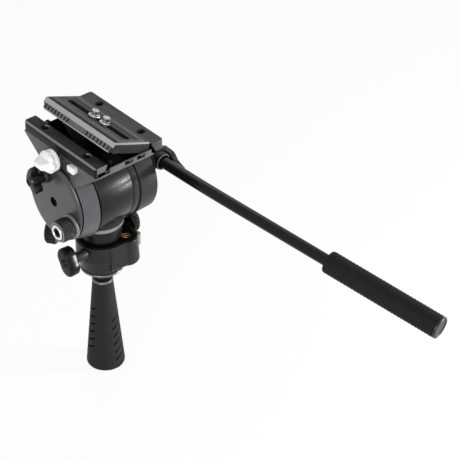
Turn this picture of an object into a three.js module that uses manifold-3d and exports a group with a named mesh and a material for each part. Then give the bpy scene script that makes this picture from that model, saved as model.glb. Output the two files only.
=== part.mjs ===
// A fluid video head with a tie-down grip, a pan bar and a tilted quick-release plate.
// Millimetres, +Z up, +Y towards the lens, +X to the operator's right.
// The origin is on the pan axis, in the plane of the base's bright rim.
import * as THREE from 'three';
import { mergeVertices } from 'three/addons/utils/BufferGeometryUtils.js';
import Module from 'manifold-3d';

const wasm = await Module();
wasm.setup();

// Fits
const seam = 0.3;             // gap between pieces that are bolted, seated or slide together
const runningGap = 1.2;       // gap between the tilting frame and the fixed drum
const overrun = 1.5;          // how far a cutting tool runs past the face that it cuts
const weld = 0.0001;          // points closer than this are one point

// Smoothness, in facets a turn
const fineFacets = 40;
const plainFacets = 20;
const smallFacets = 12;
const fullTurn = 360;         // degrees

// Tie-down grip
const gripTopRadius = 8.6;
const gripFootRadius = 16.4;
const gripLength = 85.5;
const gripEdgeRadius = 3.4;
const gripBoreDepth = 34;
const gripGrooves = 6;
const gripGrooveWidth = 2.6;
const gripGrooveDepth = 1.1;
const gripGroovePitch = 9.2;
const gripGrooveSpread = 43;  // degrees each side of the middle of a row
const gripGrooveSlant = 16;   // degrees
const gripGrooveTurn = -54;   // degrees from +X to the middle of the row that shows
const gripGrooveRows = 2;      // on opposite sides
const gripFirstGroove = 6.5;   // above the foot
const gripNutRadius = 6.4;
const gripNutLength = 14;
const collarRadius = 9.0;
const collarThickness = 1.8;
const studRadius = 4.6;
const studLength = 46;        // below the base

// Base
const baseRadius = 20.8;
const baseRimRadius = 17.2;
const chinTopRadius = 19.4;
const chinHeight = 13.6;
const chinStep = 0.9;
const baseHeight = 29.2;
const bowlDepth = 12.4;
const bowlNeckRadius = 8.3;
const dishShares = [[0, 0], [0, 0.4], [0.36, 0.58], [0.8, 0.82], [0.97, 0.96]];
const rimBandHeight = 1.5;
const rimBandThickness = 0.9;
const cavityRadius = 13.5;
const cavityFloor = 6.0;
const topPlateThickness = 1.5;
const topPlateInset = 0.4;
const accessoryRadiusOut = 20.4;      // pan axis to the accessory thread
const accessoryAngle = -43.5;         // degrees from +X
const lobeRadius = 9.6;
const lobeDraft = 1.4;                // how much the boss grows towards its foot
const lobeStart = -105;               // degrees, where its side leaves the base's circle
const lobeMeets = -125;
const lobeEnd = 64;
const lobeHeight = 23.5;
const sideLobeX = 19.0;
const sideLobeY = 3.5;
const sideLobeRadius = 8.6;
const insertOuterRadius = 6.4;
const insertBoreRadius = 4.3;
const insertDepth = 12;
const insertWindow = 5.0;             // radius of the hole over it in the top plate
const levelRadius = 3.3;
const levelHeight = 10;
const levelVialRadius = 2.5;
const levelVialProud = 0.8;
const levelDrop = 7.6;                // level's rim below the top plate
const levelX = 28.9;
const levelY = -9.9;

// Pan bearing
const panShaftRadius = 7.0;
const bushOuterGap = 0.3;
const bushLength = 3.6;
const retainerThickness = 2.6;
const retainerRadius = 11.0;
const upperBushLength = 2.3;

// Wing knobs of the pan lock and the tilt lock
const wingHubRadius = 5.8;
const wingTipRadius = 3.4;
const wingLength = 11.2;              // along the knob's axis
const wingHubProud = 1.0;
const lockStemRadius = 2.2;
const lockCollarRadius = 3.6;
const lockScrewRadius = 2.3;
const lockScrewProud = 0.7;
const panLockDrop = 4.6;              // below the base's top
const panLockY = -6.4;
const panLockStandOff = 10.6;         // base to the knob
const panLockReach = 11.2;
const panLockTurnAngle = 28;          // degrees, how the wings stand
const lockShoeLength = 3.6;
const lockShoeRadius = 2.0;

// Round drag knobs on the base
const dragStemRadius = 2.5;
const roundKnobDrop = 2.8;            // below the base's top
const frontKnobAngle = 124.3;         // degrees from +X
const frontKnobRadius = 9.7;
const frontKnobStandOff = 15.4;       // base to the knob
const frontKnobThickness = 8.5;
const sideKnobRadius = 11.8;
const sideKnobStandOff = 2.8;         // boss to the knob
const sideKnobThickness = 7.3;
const sideKnobY = 6.7;
const knobEdge = 1.2;
const stemDepth = 7.5;                // how far a knob's stem is sunk in its boss

// Pan head: pedestal and drum
const pedestalFootRadius = 17.4;
const pedestalWaistRadius = 16.2;
const pedestalTopRadius = 19.6;
const pedestalWaistHeight = 3.2;
const drumSink = 7.5;                 // how deep the drum sits in the pedestal
const tiltAxisForward = 7.0;
const tiltAxisRise = 45.4;            // above the pedestal's foot
const drumWidth = 41.2;
const drumNearRadius = 36.9;
const drumFarRadius = 33.9;
const coverThickness = 5.9;
const coverRadius = 34.3;
const drumWall = 3.6;
const tiltShaftRadius = 6.0;
const tiltBushRadius = 10.0;
const springCoilRadius = 15;
const springWireRadius = 1.6;
const springTurns = 4;
const springPitch = 4.0;
const springSides = 5;
const springStepsPerTurn = 10;
const discThickness = 1.6;
const discRadius = 28.6;
const fixedDiscGap = 4.2;             // from the drum's cover to the fixed disc
const turningDiscGap = 1.6;

// Tilting frame
const platformCentreX = -3.2;
const platformWidth = 66.5;
const platformLength = 92;
const blockRise = 24.2;               // tilt axis to the block's underside
const railWidth = 11.4;
const railThickness = 8.4;
const railLip = 1.1;
const railUndercut = 3.9;
const railCornerCut = 1.4;
const blockEnd = 1.6;                 // upright part of the block's ends
const blockFoot = 36.8;               // length of the block's underside
const blockHeight = 23.2;
const notchWidth = 8.4;
const notchDepth = 2.2;
const notchReach = 4.6;
const notchPitch = 11.7;
const notchCount = 4;
const cheekNearRadius = 33.8;
const cheekStepRadius = 37.3;
const cheekFarRadius = 35.6;
const cheekEndRadius = 34.9;
const farCheekWidth = 18.7;
const farCheekRound = 3.8;
const endCoverThickness = 2.85;
const endCoverFaceRadius = 26.4;
const endCoverRoundShares = [[0.0, 1.0], [0.34, 0.93], [0.66, 0.72], [0.88, 0.38]];
const coverRecessRadius = 4.1;
const coverRecessDepth = 2.0;
const coverScrewRadius = 3.5;
const coverScrewHead = 1.2;
const coverScrewShank = 1.8;
const coverScrewLength = 9;
const padThickness = 1.0;
const padLength = 8.0;
const padWidth = 13.5;
const padFromEnd = 5.0;
const padFromRail = 13.65;

// Rail screws
const screwHeadRadius = 3.3;
const screwHeadDepth = 2.0;
const screwShankRadius = 1.6;
const screwLength = 13;
const screwSocketRadius = 1.3;
const screwSocketDepth = 1.1;
const screwFromEdge = 6.7;
const screwSpacing = 53;

// Plate clamp
const clampY = 3.6;
const clampDrop = 5.2;                // below the block's top
const clampFlangeRadius = 9.7;
const clampFlangeLength = 5.2;
const clampFlutes = 12;
const clampFluteRadius = 1.5;
const clampHubRadius = 7.4;
const clampHubLength = 2.6;
const clampBladeReach = 9.6;
const clampBladeThickness = 5.0;
const clampBladeWidth = 13.4;
const clampBladeTilt = 10;            // degrees about the knob's axis
const clampStemRadius = 3.0;
const clampStemDepth = 9;
const clampNeckRadius = 3.4;
const panelFront = 15.5;
const panelRear = -12.6;
const panelFloorRise = 3.6;           // above the block's underside
const panelDepth = 2.2;
const panelTopGap = 0.9;
const jawLength = 15;
const jawY = -6.5;
const jawDepth = 5.4;
const jawProud = 0.2;
const jawDrop = 1.2;                  // jaw's top below the rail's top
const jawTravel = 0.9;

// Release button and the catch pin that it draws down
const buttonY = -17.7;
const buttonDrop = 4.6;               // below the block's top
const buttonWidth = 8.6;
const buttonTall = 5.8;
const buttonProud = 3.4;
const buttonDepth = 3.0;
const buttonPocket = 7.6;
const buttonTravel = 2.4;
const buttonGap = 0.5;
const buttonStopRadius = 2.2;
const buttonStopBore = 1.1;
const catchFromRail = 10.25;
const catchFromEnd = 10.1;
const catchRadius = 1.7;
const catchProud = 2.6;
const catchLength = 7.4;
const catchTravel = 2.4;

// Tilt lock and tilt drag knobs on the near cheek, from the tilt axis
const tiltLockForward = 8.8;
const tiltLockUp = 21.0;
const tiltLockCollarLength = 4.0;
const tiltLockCollarRadius = 5.6;
const tiltLockReach = 12.6;
const tiltLockTurnAngle = 77;         // degrees, how the wings stand
const tiltDragRear = 23.4;
const tiltDragDown = 10.6;
const tiltDragRadius = 8.5;
const tiltDragLength = 12.0;
const tiltDragCollarRadius = 9.1;
const tiltDragCollarLength = 2.4;
const tiltDragTeeth = 22;
const tiltDragToothDepth = 0.5;
const tiltDragFaceRadius = 7.0;
const tiltDragFaceProud = 0.8;
const tiltDragSocketRadius = 2.6;
const cheekStemDepth = 8;

// Pan bar, from its rosette
const rosetteRear = 20.3;             // from the tilt axis
const rosetteUp = 14.4;
const rosetteRadius = 8.6;
const rosetteThickness = 1.5;
const barRadius = 4.8;
const barHubRadius = 8.4;
const barHubLength = 11.4;
const socketRadius = 6.4;
const socketMouth = 10.0;             // rosette axis to the socket's mouth
const socketRise = 0.8;
const socketDepth = 6.5;
const barFirstLength = 26.7;          // from the socket's mouth
const barBendLength = 42.6;
const barSecondLength = 97.6;
const barFirstOut = 4.3;              // degrees
const barFirstDown = 2.5;
const barSecondOut = 13.5;
const barSecondDown = 10.0;
const barSides = 14;
const barSteps = 20;
const barGripRadius = 9.3;
const barGripLength = 104;
const barGripShoulder = 5;
const barGripCapThickness = 2.2;
const barGripCapInset = 1.4;
const leverHubRadius = 6.0;
const leverHubLength = 6.6;
const leverReach = 27.4;
const leverShoulder = 12.5;
const leverShoulderHalf = 4.4;
const leverTipHalf = 1.6;
const leverArmLength = 5.4;
const leverStemRadius = 2.6;
const leverStemDepth = 5.6;           // into the far cheek
const leverCapLength = 1.6;

// Quick-release plate, lying hooked under the far rail
const plateTilt = 21.5;               // degrees
const plateWidth = 42.2;
const plateInset = 3.3;
const plateLand = 1.2;
const plateThickness = 8.7;
const plateLength = 88.8;
const plateWingFront = 40.4;
const plateWingRear = 36.0;
const plateRailGap = 0.35;
const catchSlotWidth = 5.2;
const catchSlotDepth = 3.4;
const slotWidth = 7.0;
const slotFromEnd = 6.4;
const grooveWidth = 15.0;
const grooveDepth = 4.4;
const stripWidth = 6.0;
const stripThickness = 1.4;
const stripProud = 0.5;
const stripOffset = 11.4;
const stripFromEnd = 2.4;
const stripBridge = 2.6;
const frontScrewY = 5.0;
const rearScrewY = -9.0;
const cameraScrewRadius = 3.1;
const cameraScrewHead = 6.0;
const cameraScrewHeadHeight = 3.0;
const cameraScrewProud = 6.2;
const cameraScrewSlotWidth = 1.4;
const captiveRadius = 5.0;
const captiveThickness = 0.8;

// Looks
const looks = {
  blackPaint: [0x3a3a3c, 0.55, 0.3],
  darkPaint: [0x2e2e30, 0.6, 0.2],
  blackPlastic: [0x161617, 0.45, 0.0],
  glossTube: [0x0b0b0c, 0.15, 0.2],
  rubber: [0x3c3c3e, 0.85, 0.0],
  blackRubber: [0x111112, 0.9, 0.0],
  whitePlastic: [0xe9e9e9, 0.4, 0.0],
  bright: [0xd2d3d5, 0.25, 1.0],
  steel: [0x9a9b9e, 0.35, 1.0],
  brass: [0xcfa255, 0.35, 1.0],
  greyPlastic: [0xa9a9ab, 0.5, 0.0],
  glass: [0xcfe38a, 0.08, 0.0],
};

// Worked out from the driving sizes
const baseTop = baseHeight + seam + topPlateThickness;
const lowerBushFloor = cavityFloor + retainerThickness + 3 * seam;
const panLockHeight = baseHeight - panLockDrop;
const panLockKnobStart = baseRadius + panLockStandOff;
const roundKnobHeight = baseHeight - roundKnobDrop;
const frontKnobStart = baseRadius + frontKnobStandOff;
const sideKnobStart = sideLobeX + sideLobeRadius + sideKnobStandOff;
const pedestalFoot = baseTop + seam;
const tiltAxisHeight = pedestalFoot + tiltAxisRise;
const pedestalTopHeight = tiltAxisRise - drumNearRadius + drumSink;
const drumNearX = -drumWidth / 2;
const drumFarX = drumWidth / 2;
const platformNearX = platformCentreX - platformWidth / 2;
const platformFarX = platformCentreX + platformWidth / 2;
const platformHalf = platformLength / 2;
const blockBottom = tiltAxisHeight + blockRise;
const blockTop = blockBottom + blockHeight;
const platformTop = blockTop + seam + railThickness;
const cheekTop = blockBottom - seam - tiltAxisHeight;
const farRailInnerX = platformFarX - railWidth;
const nearRailInnerX = platformNearX + railWidth;
const coverX = drumFarX - coverThickness;
const cheekInnerNearX = drumNearX - seam;
const cheekInnerFarX = drumFarX + seam;
const endCoverBackX = platformNearX - seam;
const endCoverX = endCoverBackX - endCoverThickness;
const farCheekX = cheekInnerFarX + farCheekWidth;
const clampHeight = blockTop - clampDrop;
const buttonHeight = blockTop - buttonDrop;
const panelFloor = blockBottom + panelFloorRise;
const catchX = nearRailInnerX + catchFromRail;
const catchY = catchFromEnd - platformHalf;
const padX = nearRailInnerX + padFromRail;
const rosetteY = tiltAxisForward - rosetteRear;
const rosetteHeight = tiltAxisHeight + rosetteUp;
const platePivotX = farRailInnerX - plateRailGap;
const slotLength = plateLength - 2 * slotFromEnd;
const stripLength = plateLength - 2 * stripFromEnd;
const knobFaceX = endCoverX - seam;
const barHubX = farCheekX + seam + rosetteThickness + seam;
const insertX = accessoryRadiusOut * Math.cos(radians(accessoryAngle));
const insertY = accessoryRadiusOut * Math.sin(radians(accessoryAngle));
const sideStemStart = sideLobeX + sideLobeRadius - stemDepth;

function radians(degrees) {
  return THREE.MathUtils.degToRad(degrees);
}

// Geometry helpers

function toSolid(geometry) {
  const bare = new THREE.BufferGeometry();
  bare.setAttribute('position', geometry.getAttribute('position'));
  bare.setIndex(geometry.getIndex());
  const welded = mergeVertices(bare, weld);
  const index = welded.getIndex().array;
  const points = welded.getAttribute('position');
  const corners = [new THREE.Vector3(), new THREE.Vector3(), new THREE.Vector3()];
  const triangles = [];
  let volume = 0;
  for (let first = 0; first < index.length; first += 3) {
    const [a, b, c] = [index[first], index[first + 1], index[first + 2]];
    if (a === b || b === c || c === a) continue;
    triangles.push([a, b, c]);
    [a, b, c].forEach((point, which) => corners[which].fromBufferAttribute(points, point));
    volume += corners[0].dot(corners[1].cross(corners[2]));
  }
  const outward = volume < 0 ? triangles.map(([a, b, c]) => [a, c, b]) : triangles;
  return new wasm.Manifold(new wasm.Mesh({
    numProp: 3,
    vertProperties: new Float32Array(points.array),
    triVerts: new Uint32Array(outward.flat()),
  }));
}

function toGeometry(solid) {
  const mesh = solid.getMesh();
  const geometry = new THREE.BufferGeometry();
  geometry.setAttribute('position', new THREE.BufferAttribute(mesh.vertProperties, mesh.numProp));
  geometry.setIndex(new THREE.BufferAttribute(mesh.triVerts, 1));
  geometry.computeVertexNormals();
  return geometry;
}

function join(...solids) {
  return solids.reduce((whole, next) => whole.add(next));
}

function cut(solid, ...tools) {
  return tools.reduce((rest, tool) => rest.subtract(tool), solid);
}

// Turns a shape's own axes (u, v, depth) to lie along the named axis
function alongAxis(geometry, axis) {
  const [x, y, z] = [new THREE.Vector3(1, 0, 0), new THREE.Vector3(0, 1, 0), new THREE.Vector3(0, 0, 1)];
  const frames = {
    x: new THREE.Matrix4().makeBasis(y, z, x),
    y: new THREE.Matrix4().makeBasis(z, x, y),
    z: new THREE.Matrix4().makeBasis(x, y, z),
  };
  return geometry.applyMatrix4(frames[axis]);
}

function moved(solid, x, y, z) {
  return solid.translate([x, y, z]);
}

// A block from its low corner to its high corner
function block(low, high) {
  const size = high.map((value, i) => value - low[i]);
  const middle = high.map((value, i) => (value + low[i]) / 2);
  const geometry = new THREE.BoxGeometry(...size);
  return toSolid(geometry.translate(...middle));
}

// An outline pushed along an axis; the outline is in (y, z) along x, (z, x) along y and (x, y) along z
function prism(outline, from, to, axis) {
  const shape = outline.isShape ? outline : new THREE.Shape(outline.map(([u, v]) => new THREE.Vector2(u, v)));
  const options = { depth: to - from, bevelEnabled: false, curveSegments: smallFacets / 2 };
  const geometry = new THREE.ExtrudeGeometry(shape, options).translate(0, 0, from);
  return toSolid(alongAxis(geometry, axis));
}

// A profile of [radius, place along the axis] turned about an axis; a ring's profile is closed here
function turned(profile, axis, facets = plainFacets) {
  const ring = profile.every(([radius]) => radius > 0);
  const points = (ring ? [...profile, profile[0]] : profile).map(([r, along]) => new THREE.Vector2(r, along));
  const geometry = new THREE.LatheGeometry(points, facets).rotateX(Math.PI / 2);
  return toSolid(alongAxis(geometry, axis));
}

function rod(radius, from, to, axis, facets = smallFacets) {
  return turned([[0, from], [radius, from], [radius, to], [0, to]], axis, facets);
}

function tube(inner, outer, from, to, axis, facets = plainFacets) {
  return turned([[inner, from], [outer, from], [outer, to], [inner, to]], axis, facets);
}

// A disc whose two rims are broken by a small flat
function knobDisc(radius, from, to, edge, axis, facets = plainFacets) {
  const profile = [
    [0, from], [radius - edge, from], [radius, from + edge],
    [radius, to - edge], [radius - edge, to], [0, to],
  ];
  return turned(profile, axis, facets);
}

function arcPoints(centreU, centreV, radius, fromAngle, toAngle, steps) {
  const points = [];
  for (let step = 0; step <= steps; step += 1) {
    const angle = radians(fromAngle + ((toAngle - fromAngle) * step) / steps);
    points.push([centreU + radius * Math.cos(angle), centreV + radius * Math.sin(angle)]);
  }
  return points;
}

// Tie-down grip

function tieDownGrip() {
  const top = -bowlDepth - seam - collarThickness - seam;
  const foot = top - gripLength;
  const slope = (gripFootRadius - gripTopRadius) / gripLength;
  const shoulder = gripFootRadius - slope * gripEdgeRadius;
  const edge = arcPoints(shoulder - gripEdgeRadius, foot + gripEdgeRadius, gripEdgeRadius, 0, -90, 3);
  let body = turned([[0, top], [gripTopRadius, top], ...edge, [0, foot]], 'z', fineFacets);
  body = cut(body, rod(studRadius + 2 * seam, top - gripBoreDepth - overrun, top + overrun, 'z'));
  body = cut(body, rod(gripNutRadius + seam, top - seam - gripNutLength, top + overrun, 'z', plainFacets));
  for (let row = 0; row < gripGrooveRows; row += 1) {
    for (let groove = 0; groove < gripGrooves; groove += 1) {
      const height = foot + gripFirstGroove + groove * gripGroovePitch;
      const radius = gripTopRadius + slope * (top - height);
      body = cut(body, gripGroove(radius, height, gripGrooveTurn + (row / gripGrooveRows) * fullTurn));
    }
  }
  return body;
}

// A band round part of the grip, slanted, that cuts one groove
function gripGroove(radius, height, turn) {
  const inner = arcPoints(0, 0, radius - gripGrooveDepth, -gripGrooveSpread, gripGrooveSpread, 6);
  const outer = arcPoints(0, 0, radius + gripEdgeRadius, gripGrooveSpread, -gripGrooveSpread, 3);
  const band = prism([...inner, ...outer], -gripGrooveWidth / 2, gripGrooveWidth / 2, 'z');
  return band.rotate([gripGrooveSlant, 0, 0]).rotate([0, 0, turn]).translate([0, 0, height]);
}

function tieDownCollar() {
  const top = -bowlDepth - seam;
  const inner = studRadius + seam;
  const edge = collarThickness / 3;
  return turned([
    [inner, top - collarThickness], [collarRadius - edge, top - collarThickness],
    [collarRadius, top - collarThickness + edge], [collarRadius, top - edge],
    [collarRadius - edge, top], [inner, top],
  ], 'z', plainFacets);
}

function tieDownNut() {
  const top = -bowlDepth - seam - collarThickness - seam;
  return tube(studRadius + seam, gripNutRadius, top - gripNutLength, top, 'z', smallFacets);
}

function baseStud() {
  return rod(studRadius, -studLength, cavityFloor - 2 * seam, 'z');
}

// Base

function lobeOutline(inset) {
  const reach = lobeRadius - inset;
  const sideReach = sideLobeRadius - inset;
  const heading = THREE.MathUtils.radToDeg(Math.atan2(sideLobeY - insertY, sideLobeX - insertX)) - 90;
  const [[startX, startY]] = arcPoints(0, 0, baseRadius - inset - seam / 2, lobeStart, lobeStart, 1);
  return [
    [startX, startY],
    ...arcPoints(insertX, insertY, reach, lobeMeets, heading, 7),
    ...arcPoints(sideLobeX, sideLobeY, sideReach, heading, lobeEnd, 4),
    [0, baseRadius / 2],
  ];
}

// The boss under the lobe, wider towards its foot: the far half of a bevelled extrusion
function baseLobe() {
  const foot = baseHeight - lobeHeight;
  const shape = new THREE.Shape(lobeOutline(0).map(([x, y]) => new THREE.Vector2(x, y)));
  const geometry = new THREE.ExtrudeGeometry(shape, {
    depth: overrun, bevelThickness: lobeHeight, bevelSize: lobeDraft, bevelSegments: 1, curveSegments: 1,
  });
  const reach = lobeHeight + overrun;
  const below = block([-reach * 2, -reach * 2, foot - 2 * reach], [reach * 2, reach * 2, foot]);
  return cut(toSolid(geometry.translate(0, 0, foot - overrun)), below);
}

function baseBody() {
  const dish = dishShares.map(([outward, upward]) => [
    bowlNeckRadius + (baseRimRadius - bowlNeckRadius) * outward,
    -bowlDepth + bowlDepth * upward,
  ]);
  let body = turned([
    [0, -bowlDepth], ...dish, [baseRimRadius, rimBandHeight], [chinTopRadius, chinHeight],
    [baseRadius, chinHeight + chinStep],
    [baseRadius, baseHeight - knobEdge / 2], [baseRadius - knobEdge / 2, baseHeight], [0, baseHeight],
  ], 'z', fineFacets);
  body = join(body, baseLobe());
  return cut(
    body,
    rod(cavityRadius, cavityFloor, baseHeight + overrun, 'z', plainFacets),
    rod(studRadius + seam, -bowlDepth - overrun, cavityFloor + overrun, 'z'),
    moved(rod(lockStemRadius + seam, -baseRadius - overrun, 0, 'x'), 0, panLockY, panLockHeight),
    atInsert(rod(insertOuterRadius + seam, baseHeight - insertDepth, baseHeight + overrun, 'z')),
    moved(sideStem(dragStemRadius + seam, sideStemStart - seam), 0, sideKnobY, roundKnobHeight),
    frontStem(dragStemRadius + seam, baseRadius - stemDepth / 2, frontKnobStart),
    atLevel(rod(levelRadius + seam, baseTop - levelDrop - levelHeight - seam, baseTop + overrun, 'z')),
  );
}

function atInsert(solid) {
  return moved(solid, insertX, insertY, 0);
}

function atLevel(solid) {
  return moved(solid, levelX, levelY, 0);
}

function sideStem(radius, from) {
  return rod(radius, from, sideKnobStart + overrun, 'x');
}

function frontStem(radius, from, to) {
  return rod(radius, from, to, 'x').rotate([0, 0, frontKnobAngle]).translate([0, 0, roundKnobHeight]);
}

function baseRim() {
  const inner = baseRimRadius + seam;
  return tube(inner, inner + rimBandThickness, -rimBandHeight / 2, rimBandHeight - seam / 2, 'z', fineFacets);
}

function baseTopPlate() {
  const low = baseHeight + seam;
  const round = rod(baseRadius - topPlateInset, low, baseTop, 'z', fineFacets);
  const plate = join(round, prism(lobeOutline(topPlateInset), low, baseTop, 'z'));
  return cut(
    plate,
    rod(cavityRadius - seam, low - overrun, baseTop + overrun, 'z', plainFacets),
    atInsert(rod(insertWindow, low - overrun, baseTop + overrun, 'z')),
    atLevel(rod(levelRadius + seam, low - overrun, baseTop + overrun, 'z')),
  );
}

function accessoryInsert() {
  const low = baseHeight - insertDepth + seam;
  return atInsert(tube(insertBoreRadius, insertOuterRadius, low, baseHeight - seam, 'z'));
}

function levelCup() {
  const top = baseTop - levelDrop;
  const cup = rod(levelRadius, top - levelHeight, top, 'z');
  const pocket = rod(levelVialRadius + seam, top - levelHeight / 2, top + overrun, 'z');
  return atLevel(cut(cup, pocket));
}

function levelVial() {
  const top = baseTop - levelDrop;
  const dome = levelVialRadius / 3;
  return atLevel(turned([
    [0, top - levelHeight / 2 + seam], [levelVialRadius, top - levelHeight / 2 + seam],
    [levelVialRadius, top], [levelVialRadius - dome, top + levelVialProud / 2], [0, top + levelVialProud],
  ], 'z', smallFacets));
}

// Pan bearing

function panBush(low, length) {
  return tube(panShaftRadius + seam, cavityRadius - bushOuterGap, low, low + length, 'z');
}

function panShaft() {
  const low = cavityFloor + seam;
  return turned([
    [0, low], [retainerRadius, low], [retainerRadius, low + retainerThickness],
    [panShaftRadius, low + retainerThickness], [panShaftRadius, pedestalFoot + pedestalWaistHeight],
    [0, pedestalFoot + pedestalWaistHeight],
  ], 'z', plainFacets);
}

// The shoe bears on the side of the pan shaft
function panLockShoe() {
  const reach = Math.abs(panLockY) - lockShoeRadius;
  const to = -Math.sqrt(panShaftRadius ** 2 - reach ** 2) - seam;
  return moved(rod(lockShoeRadius, to - lockShoeLength, to, 'x'), 0, panLockY, panLockHeight);
}

// Wing knobs, made along -X from the start of the knob

function wingKnob(startX, turnAngle, wingReach) {
  const end = startX - wingLength;
  const hub = knobDisc(wingHubRadius, end - wingHubProud, startX, knobEdge / 2, 'x');
  const wing = [
    [-wingReach + wingTipRadius, -wingTipRadius], [0, -wingHubRadius + knobEdge],
    [wingReach - wingTipRadius, -wingTipRadius],
    ...arcPoints(wingReach - wingTipRadius, 0, wingTipRadius, -60, 60, 4),
    [wingReach - wingTipRadius, wingTipRadius], [0, wingHubRadius - knobEdge],
    [-wingReach + wingTipRadius, wingTipRadius],
    ...arcPoints(-wingReach + wingTipRadius, 0, wingTipRadius, 120, 240, 4),
  ];
  const wings = prism(wing, end, startX - knobEdge, 'x').rotate([turnAngle, 0, 0]);
  const bore = rod(lockScrewRadius + seam, end - wingHubProud - overrun, startX + overrun, 'x');
  return cut(join(hub, wings), bore);
}

// The steel spindle of a lock: thin in its hole, thicker outside, with a screw head in the knob
function lockSpindle(innerX, collarFromX, knobX) {
  const headX = knobX - wingLength - wingHubProud - lockScrewProud;
  const spindle = join(
    rod(lockStemRadius, collarFromX - overrun, innerX, 'x'),
    rod(lockCollarRadius, knobX + seam, collarFromX, 'x'),
    rod(lockScrewRadius, headX, knobX + seam + overrun, 'x'),
  );
  const slot = block(
    [headX - overrun, -lockScrewRadius, -lockScrewProud / 2],
    [headX + lockScrewProud, lockScrewRadius, lockScrewProud / 2],
  );
  return cut(spindle, slot);
}

// Round drag knobs on the base

function sideKnob() {
  const end = sideKnobStart + sideKnobThickness;
  const knob = join(
    knobDisc(sideKnobRadius, sideKnobStart, end, knobEdge, 'x', plainFacets),
    sideStem(dragStemRadius, sideStemStart),
  );
  return moved(knob, 0, sideKnobY, roundKnobHeight);
}

function frontKnob() {
  const end = frontKnobStart + frontKnobThickness;
  const knob = knobDisc(frontKnobRadius, frontKnobStart, end, knobEdge, 'x', plainFacets)
    .rotate([0, 0, frontKnobAngle])
    .translate([0, 0, roundKnobHeight]);
  return join(knob, frontStem(dragStemRadius, baseRadius - stemDepth / 2 + seam, frontKnobStart + overrun));
}

// Pan head, with the drum's pieces made about the tilt axis

function pedestal() {
  const waist = pedestalFoot + pedestalWaistHeight;
  const cone = turned([
    [panShaftRadius + seam, pedestalFoot], [pedestalFootRadius, pedestalFoot],
    [pedestalWaistRadius, waist], [pedestalTopRadius, pedestalFoot + pedestalTopHeight],
    [panShaftRadius + seam, pedestalFoot + pedestalTopHeight],
  ], 'z', fineFacets);
  const drum = turned([
    [0, drumNearX - overrun], [drumNearRadius + seam, drumNearX - overrun],
    [drumNearRadius + seam, drumNearX], [drumFarRadius + seam, coverX],
    [coverRadius + seam, coverX + seam], [coverRadius + seam, drumFarX + overrun], [0, drumFarX + overrun],
  ], 'x', fineFacets);
  return cut(cone, moved(drum, 0, tiltAxisForward, tiltAxisHeight));
}

function drumHousing() {
  const inner = drumFarRadius - drumWall;
  const shell = turned([
    [tiltBushRadius + seam, drumNearX], [drumNearRadius - knobEdge / 2, drumNearX],
    [drumNearRadius, drumNearX + knobEdge / 2], [drumFarRadius, coverX - seam],
    [inner, coverX - seam], [inner, drumNearX + drumWall], [tiltBushRadius + seam, drumNearX + drumWall],
  ], 'x', fineFacets);
  return shell;
}

function drumCover() {
  return turned([
    [tiltBushRadius + seam, coverX],
    [coverRadius - knobEdge / 2, coverX], [coverRadius, coverX + knobEdge / 2],
    [coverRadius, drumFarX - knobEdge / 2], [coverRadius - knobEdge / 2, drumFarX],
    [tiltBushRadius + seam, drumFarX],
  ], 'x', fineFacets);
}

function tiltBush(from, to) {
  return tube(tiltShaftRadius + seam, tiltBushRadius, from, to, 'x');
}

// One unbroken wire of five turns, round the tilt shaft
class Helix extends THREE.Curve {
  getPoint(share) {
    const angle = 2 * Math.PI * springTurns * share;
    const startX = drumNearX + drumWall + seam + springWireRadius;
    return new THREE.Vector3(
      startX + springPitch * springTurns * share,
      springCoilRadius * Math.cos(angle),
      springCoilRadius * Math.sin(angle),
    );
  }
}

function counterbalanceSpring() {
  const options = { steps: springTurns * springStepsPerTurn, extrudePath: new Helix(), curveSegments: 1 };
  return toSolid(new THREE.ExtrudeGeometry(circleShape(springWireRadius, springSides), options));
}

function dragDisc(gapToCover, bore, rim) {
  const to = coverX - gapToCover;
  return tube(bore, rim, to - discThickness, to, 'x', plainFacets);
}

// Tilting frame

function blockSide() {
  const [high, low] = [blockTop, blockBottom];
  return [
    [-platformHalf, high], [-platformHalf, high - blockEnd], [-blockFoot / 2, low],
    [blockFoot / 2, low], [platformHalf, high - blockEnd], [platformHalf, high],
  ];
}

function platformBlock() {
  const clearRadius = drumNearRadius + runningGap;
  let body = prism(blockSide(), platformNearX, platformFarX, 'x');
  body = cut(body, moved(
    rod(clearRadius, cheekInnerNearX, cheekInnerFarX, 'x', fineFacets), 0, tiltAxisForward, tiltAxisHeight,
  ));
  for (let notch = 0; notch < notchCount; notch += 1) {
    const centre = platformCentreX + (notch - (notchCount - 1) / 2) * notchPitch;
    for (const end of [-1, 1]) {
      const reach = [end * (platformHalf - notchReach), end * (platformHalf + overrun)].sort((a, b) => a - b);
      body = cut(body, block(
        [centre - notchWidth / 2, reach[0], blockTop - notchDepth],
        [centre + notchWidth / 2, reach[1], blockTop + overrun],
      ));
    }
  }
  return cut(body, ...blockHoles());
}

function blockHoles() {
  const screwFoot = platformTop - screwLength - 2 * seam;
  const holes = railScrewPlaces().map(([x, y]) => moved(
    rod(screwShankRadius + seam, screwFoot, blockTop + overrun, 'z', smallFacets), x, y, 0,
  ));
  holes.push(block(
    [platformNearX - overrun, panelRear, panelFloor],
    [platformNearX + panelDepth, panelFront, blockTop - panelTopGap],
  ));
  const [halfWidth, halfTall] = [buttonWidth / 2 + buttonGap, buttonTall / 2 + buttonGap];
  holes.push(block(
    [platformNearX - overrun, buttonY - halfWidth, buttonHeight - halfTall],
    [platformNearX + buttonPocket, buttonY + halfWidth, buttonHeight + halfTall],
  ));
  holes.push(floorPad(seam));
  const catchHole = rod(catchRadius + seam, catchFoot() - catchTravel - seam, blockTop + overrun, 'z');
  holes.push(moved(catchHole, catchX, catchY, 0));
  holes.push(moved(
    rod(clampStemRadius + seam, platformNearX - overrun, platformNearX + clampStemDepth + seam, 'x'),
    0, clampY, clampHeight,
  ));
  return holes;
}

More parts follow.
